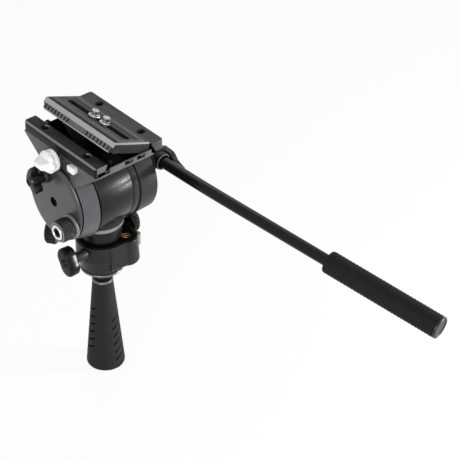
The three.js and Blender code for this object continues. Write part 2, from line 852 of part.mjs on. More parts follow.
function catchFoot() {
  return blockTop + catchProud - catchLength;
}

// A rail's section in (z, x) for a rail whose inner face looks along +X; the far one is its mirror image
function rail(far) {
  const side = far ? -1 : 1;
  const outer = far ? platformFarX : platformNearX;
  const inner = far ? farRailInnerX : nearRailInnerX;
  const low = platformTop - railThickness;
  const section = [
    [low, outer], [platformTop, outer], [platformTop, inner],
    [platformTop - railLip, inner], [low, inner - side * railUndercut],
  ];
  let body = prism(section, -platformHalf, platformHalf, 'y');
  for (const end of [-1, 1]) {
    const corner = [
      [outer - side * overrun, end * (platformHalf - railCornerCut - overrun)],
      [outer + side * (railCornerCut + overrun), end * (platformHalf + overrun)],
      [outer - side * overrun, end * (platformHalf + overrun)],
    ];
    body = cut(body, prism(corner, low - overrun, platformTop + overrun, 'z'));
  }
  const screwHoles = railScrewPlaces(far).map(([x, y]) => moved(railScrewHole(), x, y, 0));
  return cut(body, ...screwHoles);
}

function nearRail() {
  const from = nearRailInnerX - jawDepth - jawTravel;
  return cut(rail(false), block(
    [from, jawY - jawLength / 2 - seam, platformTop - railThickness - overrun],
    [nearRailInnerX + overrun, jawY + jawLength / 2 + seam, platformTop - jawDrop + seam],
  ));
}

function railScrewPlaces(far) {
  const near = [-1, 1].map((end) => [platformNearX + screwFromEdge, (end * screwSpacing) / 2]);
  const farSide = [-1, 1].map((end) => [platformFarX - screwFromEdge, (end * screwSpacing) / 2]);
  if (far === undefined) return [...near, ...farSide];
  return far ? farSide : near;
}

function railScrewHole() {
  const foot = platformTop - railThickness - overrun;
  const neck = platformTop - screwHeadDepth;
  return turned([
    [0, foot], [screwShankRadius + seam, foot],
    [screwShankRadius + seam, neck - seam], [screwHeadRadius + seam, platformTop - seam],
    [screwHeadRadius + seam, platformTop + overrun], [0, platformTop + overrun],
  ], 'z', smallFacets);
}

function railScrew([x, y]) {
  const top = platformTop - seam;
  const socket = rod(screwSocketRadius, top - screwSocketDepth, top + overrun, 'z', 6);
  const screw = turned([
    [0, platformTop - screwLength], [screwShankRadius, platformTop - screwLength],
    [screwShankRadius, top - screwHeadDepth], [screwHeadRadius, top], [0, top],
  ], 'z', smallFacets);
  return moved(cut(screw, socket), x, y, 0);
}

// The pad is let into the channel's floor, flush with it
function floorPad(gap = 0) {
  const front = platformHalf - padFromEnd;
  return block(
    [padX - padWidth / 2 - gap, front - padLength - gap, blockTop - padThickness - gap],
    [padX + padWidth / 2 + gap, front + gap, blockTop + gap * (overrun / seam)],
  );
}

// Cheeks and end cover, made about the tilt axis

function flatTop() {
  const reach = cheekStepRadius + overrun;
  return block([endCoverX, -reach, cheekTop], [farCheekX + overrun, reach, reach]);
}

function nearCheek() {
  const disc = turned([
    [0, platformNearX], [cheekNearRadius, platformNearX],
    [cheekStepRadius, cheekInnerNearX], [0, cheekInnerNearX],
  ], 'x', fineFacets);
  return cut(
    disc,
    flatTop(),
    rod(tiltShaftRadius + seam, platformNearX + drumWall, cheekInnerNearX + overrun, 'x'),
    rod(coverScrewShank + seam, platformNearX - overrun, platformNearX + drumWall + overrun, 'x'),
    ...cheekStems(lockStemRadius + seam, platformNearX + cheekStemDepth + seam),
  );
}

// Holes or stems of the two knobs that sit on the near cheek
function cheekStems(radius, to) {
  return [
    moved(rod(radius, endCoverX - overrun, to, 'x'), 0, tiltLockForward, tiltLockUp),
    moved(rod(radius, endCoverX - overrun, to, 'x'), 0, -tiltDragRear, -tiltDragDown),
  ];
}

function nearEndCover() {
  const depth = endCoverBackX - endCoverX;
  const rounded = endCoverRoundShares.map(([inward, outward]) => [
    cheekNearRadius - (cheekNearRadius - endCoverFaceRadius) * inward,
    endCoverX + depth * outward,
  ]);
  const disc = turned([
    [0, endCoverBackX], ...rounded,
    [endCoverFaceRadius, endCoverX + depth / 8], [endCoverFaceRadius / 2, endCoverX], [0, endCoverX],
  ], 'x', fineFacets);
  return cut(
    disc,
    rod(coverRecessRadius, endCoverX - overrun, endCoverX + coverRecessDepth, 'x'),
    rod(coverScrewShank + seam, endCoverX, endCoverBackX + overrun, 'x'),
    ...cheekStems(lockStemRadius + seam, endCoverBackX + overrun),
  );
}

function coverScrew() {
  const seat = endCoverX + coverRecessDepth - seam;
  const screw = join(
    rod(coverScrewRadius, seat - coverScrewHead, seat, 'x'),
    rod(coverScrewShank, seat - coverScrewHead / 2, seat + coverScrewLength / 2, 'x'),
  );
  const face = seat - coverScrewHead;
  return cut(screw, rod(screwSocketRadius, face - overrun, face + coverScrewHead / 2, 'x', 6));
}

function farCheek() {
  const round = arcPoints(cheekEndRadius - farCheekRound, farCheekX - farCheekRound, farCheekRound, 0, 90, 4);
  const body = turned([
    [0, cheekInnerFarX], [cheekFarRadius, cheekInnerFarX], ...round, [0, farCheekX],
  ], 'x', fineFacets);
  const [y, z] = rosettePlace();
  return cut(
    body,
    flatTop(),
    rod(tiltShaftRadius + seam, cheekInnerFarX - overrun, farCheekX - drumWall, 'x'),
    moved(rod(leverStemRadius + seam, farCheekX - leverStemDepth, farCheekX + overrun, 'x'), 0, y, z),
  );
}

function rosettePlace() {
  return [rosetteY - tiltAxisForward, rosetteHeight - tiltAxisHeight];
}

function tiltShaft() {
  return rod(tiltShaftRadius, platformNearX + drumWall + seam, farCheekX - drumWall - seam, 'x', plainFacets);
}

// The rosette and the pin that holds it in the far cheek are one piece
function rosetteDisc() {
  const [y, z] = rosettePlace();
  const from = farCheekX + seam;
  const disc = rod(rosetteRadius, from, from + rosetteThickness, 'x', plainFacets);
  const pin = rod(leverStemRadius, farCheekX - leverStemDepth + seam, from + overrun / 2, 'x');
  return moved(join(disc, pin), 0, y, z);
}

// Plate clamp

function clampKnob() {
  const start = knobFaceX;
  const flangeEnd = start - clampFlangeLength;
  const hubEnd = flangeEnd - clampHubLength;
  let knob = knobDisc(clampFlangeRadius, flangeEnd, start, knobEdge / 2, 'x');
  for (let flute = 0; flute < clampFlutes; flute += 1) {
    const angle = (2 * Math.PI * flute) / clampFlutes;
    const reach = clampFlangeRadius + clampFluteRadius / 3;
    knob = cut(knob, moved(
      rod(clampFluteRadius, flangeEnd - overrun, start + overrun, 'x', 10),
      0, reach * Math.cos(angle), reach * Math.sin(angle),
    ));
  }
  const hub = knobDisc(clampHubRadius, hubEnd, flangeEnd + overrun, knobEdge / 2, 'x');
  const [halfWidth, halfThick] = [clampBladeWidth / 2, clampBladeThickness / 2];
  const blade = prism([
    [-halfWidth + knobEdge, -halfThick], [halfWidth - knobEdge, -halfThick], [halfWidth, 0],
    [halfWidth - knobEdge, halfThick], [-halfWidth + knobEdge, halfThick], [-halfWidth, 0],
  ], hubEnd - clampBladeReach, flangeEnd + overrun, 'x').rotate([clampBladeTilt, 0, 0]);
  return cut(join(knob, hub, blade), rod(clampStemRadius + seam, flangeEnd, start + overrun, 'x'));
}

function clampStem() {
  return join(
    rod(clampStemRadius, knobFaceX - clampFlangeLength + seam, platformNearX + clampStemDepth, 'x'),
    rod(clampNeckRadius, knobFaceX + seam, platformNearX + panelDepth - seam, 'x'),
  );
}

function clampJaw() {
  const low = platformTop - railThickness;
  const inner = nearRailInnerX + jawProud;
  const section = [
    [low, inner - jawDepth], [platformTop - jawDrop, inner - jawDepth], [platformTop - jawDrop, inner],
    [platformTop - jawDrop - railLip, inner], [low, inner - railUndercut],
  ];
  return prism(section, jawY - jawLength / 2, jawY + jawLength / 2, 'y');
}

// Release button, its stop and the catch pin

function releaseButton() {
  const back = platformNearX + buttonDepth;
  const outline = roundedOutline(buttonWidth, buttonTall, knobEdge);
  return moved(prism(outline, platformNearX - buttonProud, back, 'x'), 0, buttonY, buttonHeight);
}

function roundedOutline(width, height, radius) {
  const [u, v] = [width / 2 - radius, height / 2 - radius];
  return [
    ...arcPoints(u, -v, radius, -90, 0, 3), ...arcPoints(u, v, radius, 0, 90, 3),
    ...arcPoints(-u, v, radius, 90, 180, 3), ...arcPoints(-u, -v, radius, 180, 270, 3),
  ];
}

// The ring in the pocket that the pressed button lands on
function buttonStop() {
  const from = platformNearX + buttonDepth + buttonTravel + seam;
  const to = platformNearX + buttonPocket - seam;
  return moved(tube(buttonStopBore, buttonStopRadius, from, to, 'x', smallFacets), 0, buttonY, buttonHeight);
}

function catchPin() {
  const top = blockTop + catchProud;
  const pin = turned([
    [0, catchFoot()], [catchRadius, catchFoot()], [catchRadius, top - catchRadius / 3],
    [catchRadius * (2 / 3), top], [0, top],
  ], 'z', smallFacets);
  return moved(pin, catchX, catchY, 0);
}

// Tilt drag knob, made about its own axis

function tiltDragKnob() {
  const start = knobFaceX - tiltDragCollarLength;
  const end = start - tiltDragLength;
  const valley = tiltDragRadius - tiltDragToothDepth;
  const outline = [];
  for (let tooth = 0; tooth < tiltDragTeeth; tooth += 1) {
    const turn = (fullTurn * tooth) / tiltDragTeeth;
    const quarter = fullTurn / tiltDragTeeth / 4;
    outline.push(...arcPoints(0, 0, tiltDragRadius, turn - quarter, turn + quarter, 1));
    outline.push(...arcPoints(0, 0, valley, turn + 1.4 * quarter, turn + 2.6 * quarter, 1));
  }
  const knurl = prism(outline, end + knobEdge, start, 'x');
  const front = turned([
    [0, end], [tiltDragRadius - knobEdge, end], [valley, end + knobEdge],
    [valley, end + 2 * knobEdge], [0, end + 2 * knobEdge],
  ], 'x');
  const collar = knobDisc(tiltDragCollarRadius, start - overrun / 2, knobFaceX, knobEdge / 4, 'x');
  return cut(join(knurl, front, collar), rod(lockStemRadius + seam, end - overrun, knobFaceX + overrun, 'x'));
}

function tiltDragSpindle() {
  const end = knobFaceX - tiltDragCollarLength - tiltDragLength - seam;
  const face = end - tiltDragFaceProud;
  const cap = turned([
    [0, face], [tiltDragFaceRadius - tiltDragFaceProud, face], [tiltDragFaceRadius, end], [0, end],
  ], 'x');
  const stem = rod(lockStemRadius, end - tiltDragFaceProud / 2, platformNearX + cheekStemDepth, 'x');
  const socket = rod(tiltDragSocketRadius, face - overrun, face + tiltDragFaceProud - seam, 'x', 6);
  return cut(join(cap, stem), socket);
}

// Pan bar, made about the rosette's axis

function barHeading(out, down) {
  return new THREE.Vector3(
    Math.sin(radians(out)) * Math.cos(radians(down)),
    -Math.cos(radians(out)) * Math.cos(radians(down)),
    -Math.sin(radians(down)),
  );
}

function barCourse() {
  const first = barHeading(barFirstOut, barFirstDown);
  const second = barHeading(barSecondOut, barSecondDown);
  const mouth = new THREE.Vector3(barHubX + barHubLength / 2, -socketMouth, socketRise);
  const bendStart = mouth.clone().addScaledVector(first, barFirstLength);
  const knee = bendStart.clone().addScaledVector(first, barBendLength / 2);
  const bendEnd = knee.clone().addScaledVector(second, barBendLength / 2);
  const gripStart = bendEnd.clone().addScaledVector(second, barSecondLength);
  return { mouth, bendStart, knee, bendEnd, gripStart, first, second };
}

function circleShape(radius, sides) {
  const points = arcPoints(0, 0, radius, 0, 360 - 360 / sides, sides - 1);
  return new THREE.Shape(points.map(([x, y]) => new THREE.Vector2(x, y)));
}

function barTube() {
  const { mouth, bendStart, knee, bendEnd, gripStart, first, second } = barCourse();
  const from = mouth.clone().addScaledVector(first, seam - socketDepth);
  const to = gripStart.clone().addScaledVector(second, barGripLength - barGripCapThickness - 2 * seam);
  const course = new THREE.CurvePath();
  course.add(new THREE.LineCurve3(from, bendStart));
  course.add(new THREE.QuadraticBezierCurve3(bendStart, knee, bendEnd));
  course.add(new THREE.LineCurve3(bendEnd, to));
  const options = { steps: barSteps, extrudePath: course, curveSegments: 1 };
  return toSolid(new THREE.ExtrudeGeometry(circleShape(barRadius, barSides), options));
}

// Lays a solid made along +Z from zero onto the bar's second straight, from the grip's start
function ontoGrip(solid) {
  const { gripStart, second } = barCourse();
  const tipDown = THREE.MathUtils.radToDeg(Math.acos(second.z));
  const swing = THREE.MathUtils.radToDeg(Math.atan2(second.y, second.x));
  return solid.rotate([0, tipDown, 0]).rotate([0, 0, swing]).translate(gripStart.toArray());
}

function barGrip() {
  const end = barGripLength - barGripCapThickness - seam;
  const shoulder = arcPoints(barGripRadius - barGripShoulder, barGripShoulder, barGripShoulder, -80, 0, 4);
  const bore = barRadius + seam;
  return ontoGrip(turned([
    [bore, 0], ...shoulder.map(([r, z]) => [Math.max(r, bore + seam), z]),
    [barGripRadius, end - barGripCapInset], [barGripRadius - barGripCapInset, end],
    [bore, end],
  ], 'z', plainFacets));
}

function barGripCap() {
  const from = barGripLength - barGripCapThickness;
  const radius = barGripRadius - barGripCapInset;
  return ontoGrip(turned([
    [0, from], [radius, from], [radius, barGripLength - knobEdge / 2], [radius - knobEdge / 2, barGripLength],
    [0, barGripLength],
  ], 'z', plainFacets));
}

// The bar's clamp: a hub on the rosette and a socket that opens to the rear
function barClamp() {
  const { mouth, first } = barCourse();
  const tipDown = THREE.MathUtils.radToDeg(Math.acos(first.z));
  const swing = THREE.MathUtils.radToDeg(Math.atan2(first.y, first.x));
  const aim = (solid) => solid.rotate([0, tipDown, 0]).rotate([0, 0, swing]).translate(mouth.toArray());
  const hub = knobDisc(barHubRadius, barHubX, barHubX + barHubLength, knobEdge / 2, 'x');
  const socket = aim(knobDisc(socketRadius, -socketDepth - overrun, 0, knobEdge / 3, 'z'));
  const reach = barHubRadius * 2;
  const clear = block([0, -reach, -reach], [barHubX, reach, reach]);
  const bore = aim(rod(barRadius + seam, -socketDepth, overrun, 'z'));
  return cut(join(hub, socket), clear, bore);
}

// The lever screws into the hub's outer end
function barLever() {
  const start = barHubX + barHubLength + seam;
  const end = start + leverHubLength;
  const hub = knobDisc(leverHubRadius, start, end, knobEdge / 2, 'x');
  const arm = prism([
    [0, -leverHubRadius + knobEdge / 2], [-leverShoulder, -leverShoulderHalf], [-leverReach, -leverTipHalf],
    [-leverReach, leverTipHalf], [-leverShoulder, leverShoulderHalf], [0, leverHubRadius - knobEdge / 2],
  ], end - leverArmLength, end - knobEdge, 'x');
  const cap = turned([
    [0, end - overrun], [leverHubRadius / 2, end - overrun], [leverHubRadius / 2, end + leverCapLength / 2],
    [0, end + leverCapLength],
  ], 'x');
  return join(hub, arm, cap);
}

// Quick-release plate, made about its far lower edge with its near side towards -X

function plateBody() {
  const [width, land, high] = [plateWidth, plateLand, plateThickness];
  const wings = prism([
    [0, -width], [land, -width], [high, -width + plateInset], [high, -plateInset], [land, 0], [0, 0],
  ], -plateWingRear, plateWingFront, 'y');
  const bar = block(
    [-width + plateInset, -plateLength / 2, 0],
    [-plateInset, plateLength / 2, high],
  );
  const middle = -width / 2;
  return cut(
    join(wings, bar),
    prism(slotOutline(slotWidth, slotLength, middle), -overrun, high + overrun, 'z'),
    prism(slotOutline(grooveWidth, slotLength + grooveWidth - slotWidth, middle), -overrun, grooveDepth, 'z'),
    platePadBlocks(seam),
    catchSlot(),
  );
}

// The slot in the plate's underside that clears the catch pin
function catchSlot() {
  const middle = catchX - platePivotX;
  return block(
    [middle - catchSlotWidth / 2, -plateLength / 2 - overrun, -overrun],
    [middle + catchSlotWidth / 2, catchY + catchSlotWidth, catchSlotDepth],
  );
}

function slotOutline(width, length, middle) {
  const radius = width / 2;
  const half = length / 2 - radius;
  return [
    ...arcPoints(middle, half, radius, 0, 180, 6),
    ...arcPoints(middle, -half, radius, 180, 360, 6),
  ];
}

// Two strips beside the slot and the bridge that joins them at the rear
function platePadBlocks(gap) {
  const low = plateThickness - stripThickness + stripProud;
  const high = low + stripThickness;
  const middle = -plateWidth / 2;
  const strips = [-1, 1].map((side) => block(
    [middle + side * stripOffset - stripWidth / 2 - gap, -stripLength / 2 - gap, low - gap],
    [middle + side * stripOffset + stripWidth / 2 + gap, stripLength / 2 + gap, high + gap],
  ));
  const bridge = block(
    [middle - stripOffset, -stripLength / 2 - gap, low - gap],
    [middle + stripOffset, -stripLength / 2 + stripBridge + gap, high + gap],
  );
  return join(...strips, bridge);
}

function cameraScrew(y) {
  const headLow = grooveDepth - seam - cameraScrewHeadHeight;
  const tip = plateThickness + cameraScrewProud;
  const collarLow = plateThickness + seam;
  const screw = turned([
    [0, headLow], [cameraScrewHead, headLow], [cameraScrewHead, headLow + cameraScrewHeadHeight],
    [cameraScrewRadius, headLow + cameraScrewHeadHeight], [cameraScrewRadius, collarLow],
    [captiveRadius, collarLow], [captiveRadius, collarLow + captiveThickness],
    [cameraScrewRadius, collarLow + captiveThickness], [cameraScrewRadius, tip - cameraScrewRadius / 4],
    [cameraScrewRadius * (3 / 4), tip], [0, tip],
  ], 'z', smallFacets);
  const slot = block(
    [-cameraScrewSlotWidth / 2, -cameraScrewHead - overrun, headLow - overrun],
    [cameraScrewSlotWidth / 2, cameraScrewHead + overrun, headLow + cameraScrewHeadHeight / 3],
  );
  return moved(cut(screw, slot), -plateWidth / 2, y, 0);
}

// Assembly

function piece(group, name, solid, look) {
  const [color, roughness, metalness] = looks[look];
  const material = new THREE.MeshStandardMaterial({ color, roughness, metalness, flatShading: true });
  const mesh = new THREE.Mesh(toGeometry(solid), material);
  mesh.name = name;
  group.add(mesh);
  return mesh;
}

function groupAt(parent, x, y, z) {
  const group = new THREE.Group();
  group.position.set(x, y, z);
  parent.add(group);
  return group;
}

function addTieDown(parent) {
  piece(parent, 'tie_down_grip', tieDownGrip(), 'rubber');
  piece(parent, 'tie_down_collar', tieDownCollar(), 'bright');
  piece(parent, 'tie_down_nut', tieDownNut(), 'steel');
}

function addBase(parent) {
  piece(parent, 'base_body', baseBody(), 'blackPaint');
  piece(parent, 'base_rim', baseRim(), 'bright');
  piece(parent, 'base_top_plate', baseTopPlate(), 'blackPlastic');
  piece(parent, 'base_stud', baseStud(), 'steel');
  piece(parent, 'accessory_insert', accessoryInsert(), 'brass');
  piece(parent, 'level_cup', levelCup(), 'greyPlastic');
  piece(parent, 'level_vial', levelVial(), 'glass');
  piece(parent, 'pan_bearing_lower', panBush(lowerBushFloor, bushLength), 'brass');
  piece(parent, 'pan_bearing_upper', panBush(baseHeight - upperBushLength, upperBushLength), 'brass');
  piece(parent, 'pan_lock_shoe', panLockShoe(), 'brass');
  piece(parent, 'side_drag_knob', sideKnob(), 'blackPlastic');
  piece(parent, 'front_drag_knob', frontKnob(), 'blackPlastic');
  const lock = groupAt(parent, 0, panLockY, panLockHeight);
  const innerX = -panShaftRadius - seam - lockShoeLength - seam;
  piece(lock, 'pan_lock_spindle', lockSpindle(innerX, -baseRadius - seam, -panLockKnobStart), 'steel');
  piece(lock, 'pan_lock_knob', wingKnob(-panLockKnobStart, panLockTurnAngle, panLockReach), 'blackPlastic');
}

function addPanHead(parent) {
  piece(parent, 'pan_shaft', panShaft(), 'steel');
  piece(parent, 'pan_pedestal', pedestal(), 'bright');
  const drum = groupAt(parent, 0, tiltAxisForward, tiltAxisHeight);
  piece(drum, 'drum_housing', drumHousing(), 'blackPaint');
  piece(drum, 'drum_cover', drumCover(), 'blackPaint');
  piece(drum, 'tilt_bush_near', tiltBush(drumNearX, drumNearX + drumWall), 'brass');
  piece(drum, 'tilt_bush_far', tiltBush(coverX, drumFarX), 'brass');
  piece(drum, 'counterbalance_spring', counterbalanceSpring(), 'steel');
  const discSeat = drumFarRadius - drumWall - seam;
  piece(drum, 'drag_disc_fixed', dragDisc(fixedDiscGap, tiltShaftRadius + runningGap, discSeat), 'steel');
}

function addTiltFrame(parent) {
  piece(parent, 'platform_block', platformBlock(), 'blackPaint');
  piece(parent, 'near_rail', nearRail(), 'darkPaint');
  piece(parent, 'far_rail', rail(true), 'darkPaint');
  railScrewPlaces().forEach((place, which) => {
    const railName = which < 2 ? 'near_rail' : 'far_rail';
    piece(parent, `${railName}_screw_${1 + (which % 2)}`, railScrew(place), 'steel');
  });
  piece(parent, 'floor_pad', floorPad(), 'greyPlastic');
  piece(parent, 'clamp_jaw', clampJaw(), 'steel');
  piece(parent, 'release_button', releaseButton(), 'whitePlastic');
  piece(parent, 'button_stop', buttonStop(), 'steel');
  piece(parent, 'catch_pin', catchPin(), 'bright');
  const clamp = groupAt(parent, 0, clampY, clampHeight);
  piece(clamp, 'clamp_knob', clampKnob(), 'whitePlastic');
  piece(clamp, 'clamp_stem', clampStem(), 'steel');
  const axis = groupAt(parent, 0, tiltAxisForward, tiltAxisHeight);
  piece(axis, 'near_cheek', nearCheek(), 'blackPaint');
  piece(axis, 'near_end_cover', nearEndCover(), 'blackPaint');
  piece(axis, 'cover_screw', coverScrew(), 'steel');
  piece(axis, 'far_cheek', farCheek(), 'blackPaint');
  piece(axis, 'tilt_shaft', tiltShaft(), 'steel');
  piece(axis, 'drag_disc_turning', dragDisc(turningDiscGap, tiltShaftRadius + seam, discRadius), 'steel');
  piece(axis, 'bar_rosette', rosetteDisc(), 'steel');
  const lock = groupAt(axis, 0, tiltLockForward, tiltLockUp);
  const lockKnobX = knobFaceX - tiltLockCollarLength;
  piece(lock, 'tilt_lock_spindle', tiltLockSpindle(lockKnobX), 'steel');
  piece(lock, 'tilt_lock_knob', wingKnob(lockKnobX, tiltLockTurnAngle, tiltLockReach), 'blackPlastic');
  const drag = groupAt(axis, 0, -tiltDragRear, -tiltDragDown);
  piece(drag, 'tilt_drag_knob', tiltDragKnob(), 'blackPlastic');
  piece(drag, 'tilt_drag_spindle', tiltDragSpindle(), 'bright');
}

function tiltLockSpindle(knobX) {
  const spindle = lockSpindle(platformNearX + cheekStemDepth, knobFaceX, knobX);
  return join(spindle, rod(tiltLockCollarRadius, knobX + seam, knobFaceX, 'x', plainFacets));
}

function addPanBar(parent) {
  const bar = groupAt(parent, 0, rosetteY, rosetteHeight);
  piece(bar, 'bar_clamp', barClamp(), 'blackPlastic');
  piece(bar, 'bar_tube', barTube(), 'glossTube');
  piece(bar, 'bar_grip', barGrip(), 'rubber');
  piece(bar, 'bar_grip_cap', barGripCap(), 'greyPlastic');
  piece(bar, 'bar_lever', barLever(), 'blackPlastic');
}

function addPlate(parent) {
  const plate = groupAt(parent, platePivotX, 0, blockTop + seam);
  plate.rotation.y = radians(plateTilt);
  piece(plate, 'plate_body', plateBody(), 'darkPaint');
  piece(plate, 'plate_pad', platePadBlocks(0), 'blackRubber');
  piece(plate, 'front_camera_screw', cameraScrew(frontScrewY), 'bright');
  piece(plate, 'rear_camera_screw', cameraScrew(rearScrewY), 'bright');
}

const head = new THREE.Group();
addTieDown(head);
addBase(head);
addPanHead(head);
addTiltFrame(head);
addPanBar(head);
addPlate(head);

export default head;
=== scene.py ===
"""A fluid video head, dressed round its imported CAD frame.

Sizes are in millimetres, apart from the frame's box, the lights, the floor and the camera's clip, which are
in metres.
"""

import math

import bmesh
import bpy
from mathutils import Matrix, Vector


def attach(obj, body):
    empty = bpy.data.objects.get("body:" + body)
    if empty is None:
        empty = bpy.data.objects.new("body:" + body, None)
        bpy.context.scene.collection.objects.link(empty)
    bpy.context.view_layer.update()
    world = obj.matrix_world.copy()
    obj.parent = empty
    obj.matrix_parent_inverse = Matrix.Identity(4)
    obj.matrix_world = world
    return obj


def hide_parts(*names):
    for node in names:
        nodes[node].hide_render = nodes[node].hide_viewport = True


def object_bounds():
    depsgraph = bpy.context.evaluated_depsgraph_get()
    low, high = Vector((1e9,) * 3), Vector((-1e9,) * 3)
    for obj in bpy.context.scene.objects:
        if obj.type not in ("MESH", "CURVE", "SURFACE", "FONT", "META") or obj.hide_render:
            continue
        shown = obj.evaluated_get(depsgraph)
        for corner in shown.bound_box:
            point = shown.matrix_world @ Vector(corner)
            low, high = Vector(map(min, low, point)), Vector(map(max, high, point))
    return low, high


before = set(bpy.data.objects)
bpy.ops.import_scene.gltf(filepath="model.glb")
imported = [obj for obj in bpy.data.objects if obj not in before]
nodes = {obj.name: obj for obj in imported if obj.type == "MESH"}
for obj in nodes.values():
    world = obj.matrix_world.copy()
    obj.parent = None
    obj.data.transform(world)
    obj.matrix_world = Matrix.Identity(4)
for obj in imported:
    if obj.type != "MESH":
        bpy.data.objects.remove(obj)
CAD_BOX = [list(corner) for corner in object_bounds()]

MM = 0.001
TURN = 2 * math.pi
TINY = 1e-6
ROUND, FINE, PLAIN, SMALL = 144, 96, 56, 32     # facets of round pieces, large to small
ORIGIN = (0, 0, 0)

# Sizes and places, as in the CAD source
SEAM = 0.3
GRIP_TOP, GRIP_FOOT = (8.6, -14.8), (16.4, -100.3)      # the tie-down grip's ends, as (radius, z)
BASE_RADIUS, BODY_TOP, BASE_TOP = 20.8, 29.2, 31.0
INSERT_REACH, INSERT_ANGLE = 20.4, math.radians(-43.5)
INSERT = (INSERT_REACH * math.cos(INSERT_ANGLE), INSERT_REACH * math.sin(INSERT_ANGLE))
INSERT_AT = (*INSERT, 0)
SIDE_LOBE = (19.0, 3.5)
LEVEL = (28.9, -9.9, 0)
PAN_LOCK, PAN_KNOB_X = (0, -6.4, 24.6), -31.4
WING_LENGTH = 11.2
TILT = (0.0, 7.0, 76.7)                                 # a point on the tilt axis
DRUM_NEAR_X, DRUM_FAR_X, COVER_X = -20.6, 20.6, 14.7
BLOCK_NEAR_X = -36.45
END_COVER_X, FAR_CHEEK_X = -39.6, 39.6
KNOB_FACE_X = END_COVER_X - SEAM
SHAFT_BORE, SCREW_BORE, PIN_BORE = 6.3, 2.1, 2.5
TILT_KNOB_X = KNOB_FACE_X - 4.0
TILT_LOCK, TILT_DRAG, CLAMP = (0.0, 15.8, 97.7), (0.0, -16.4, 66.1), (0.0, 3.6, 118.9)
PIN_X = BLOCK_NEAR_X + 8                                # where the tilt knobs' pins end inside
CATCH = (-14.8, -35.9, 0)
PIVOT = (18.3, 0.0, 124.4)                              # the plate's far lower edge
PLATE_TILT = math.radians(21.5)
CAMERA_SCREW_X = -21.1
ROSETTE = (0.0, -13.3, 91.1)
BAR_HUB_X, BAR_HUB_DEPTH = 42.0, 11.4
BAR_RADIUS, BAR_GRIP_RADIUS, BAR_GRIP_LENGTH = 4.8, 9.3, 104.0


# Points
def angles(count):
    return [TURN * k / count for k in range(count)]


def onto_axis(points, axis, at=ORIGIN):
    """Takes (u, v, depth) points to lie along the named axis, about a place."""
    order = {"x": (2, 0, 1), "y": (1, 2, 0), "z": (0, 1, 2)}[axis]
    return [tuple(p[i] + shift for i, shift in zip(order, at)) for p in points]


def ring(radii, along, axis="z", at=ORIGIN):
    """Points round an axis at one depth, with a radius for each."""
    points = [(r * math.cos(a), r * math.sin(a), along) for r, a in zip(radii, angles(len(radii)))]
    return onto_axis(points, axis, at)


def hoop(centre, across, up, radius, count):
    """A ring of points about a centre, in the plane of two unit vectors."""
    return [tuple(centre + (across * math.cos(a) + up * math.sin(a)) * radius) for a in angles(count)]


def swell(angle):
    """One at no angle, falling smoothly to nothing at half a turn."""
    return 0.5 + 0.5 * math.cos(angle)


def bent(start, knee, end, t):
    """A point on the curve that leaves start towards the knee and comes to end from it."""
    return start * (1 - t) ** 2 + knee * 2 * t * (1 - t) + end * t * t


def rounded(outline, radius, steps=4, closed=False, skip=()):
    """Breaks the corners of a polyline with short curves."""
    made, last = [], len(outline) - 1
    for i, point in enumerate(outline):
        here = Vector(point)
        back, ahead = Vector(outline[i - 1]) - here, Vector(outline[(i + 1) % len(outline)]) - here
        if i in skip or (not closed and i in (0, last)):
            made.append(tuple(point))
            continue
        if min(back.length, ahead.length) < TINY:
            continue
        angle = back.angle(ahead)
        if angle > math.radians(176):
            made.append(tuple(point))
            continue
        reach = min(radius / math.tan(angle / 2), 0.45 * back.length, 0.45 * ahead.length)
        start, end = here + back.normalized() * reach, here + ahead.normalized() * reach
        made += [tuple(bent(start, here, end, k / steps)) for k in range(steps + 1)]
    return made


def arc(cu, cv, r, a0, a1, steps):
    """Points on an arc, from one angle in degrees to another."""
    turns = [math.radians(a0 + (a1 - a0) * k / steps) for k in range(steps + 1)]
    return [(cu + r * math.cos(a), cv + r * math.sin(a)) for a in turns]


# Meshes
def linked(name, mesh):
    obj = bpy.data.objects.new(name, mesh)
    bpy.context.scene.collection.objects.link(obj)
    return obj


def new_object(points, faces):
    """A mesh object from points in millimetres, which gets its name when it is dressed."""
    mesh = bpy.data.meshes.new("piece")
    mesh.from_pydata([tuple(c * MM for c in p) for p in points], [], faces)
    mesh.validate()
    tidy_mesh(mesh)
    return linked("piece", mesh)


def tidy_mesh(mesh):
    """Welds doubles and turns every face outwards."""
    work = bmesh.new()
    work.from_mesh(mesh)
    bmesh.ops.remove_doubles(work, verts=work.verts, dist=2e-6)
    bmesh.ops.dissolve_degenerate(work, edges=work.edges, dist=1e-6)
    bmesh.ops.recalc_face_normals(work, faces=work.faces)
    work.to_mesh(mesh)
    work.free()


def band(near, far):
    """The faces between two rings of point numbers. A ring of one repeated number is a single point."""
    faces = []
    for k in range(len(near)):
        m = (k + 1) % len(near)
        face = list(dict.fromkeys((near[k], near[m], far[m], far[k])))
        if len(face) > 2:
            faces.append(face)
    return faces


def lathe(profile, axis="z", at=ORIGIN, facets=FINE, edge=0.0, steps=3):
    """Turns a profile of (radius, place along the axis) about an axis."""
    hollow = all(r > TINY for r, _ in profile)
    if edge:
        profile = rounded(profile, edge, steps, closed=hollow)
    points, rings = [], []
    for radius, along in profile:
        row = ring([radius] * (facets if radius > TINY else 1), along, axis, at)
        rings.append([len(points) + k % len(row) for k in range(facets)])
        points += row
    pairs = zip(rings, rings[1:] + (rings[:1] if hollow else []))
    return new_object(points, [face for near, far in pairs for face in band(near, far)])


def filled(profile):
    """A profile with its two ends led to the axis."""
    return [(0, profile[0][1]), *profile, (0, profile[-1][1])]


def rod(radius, low, high, axis="z", at=ORIGIN, facets=SMALL, edge=0.0):
    return lathe(filled([(radius, low), (radius, high)]), axis, at, facets, edge)


def tube(inner, outer, low, high, axis="z", at=ORIGIN, facets=PLAIN, edge=0.0):
    return lathe([(inner, low), (outer, low), (outer, high), (inner, high)], axis, at, facets, edge)


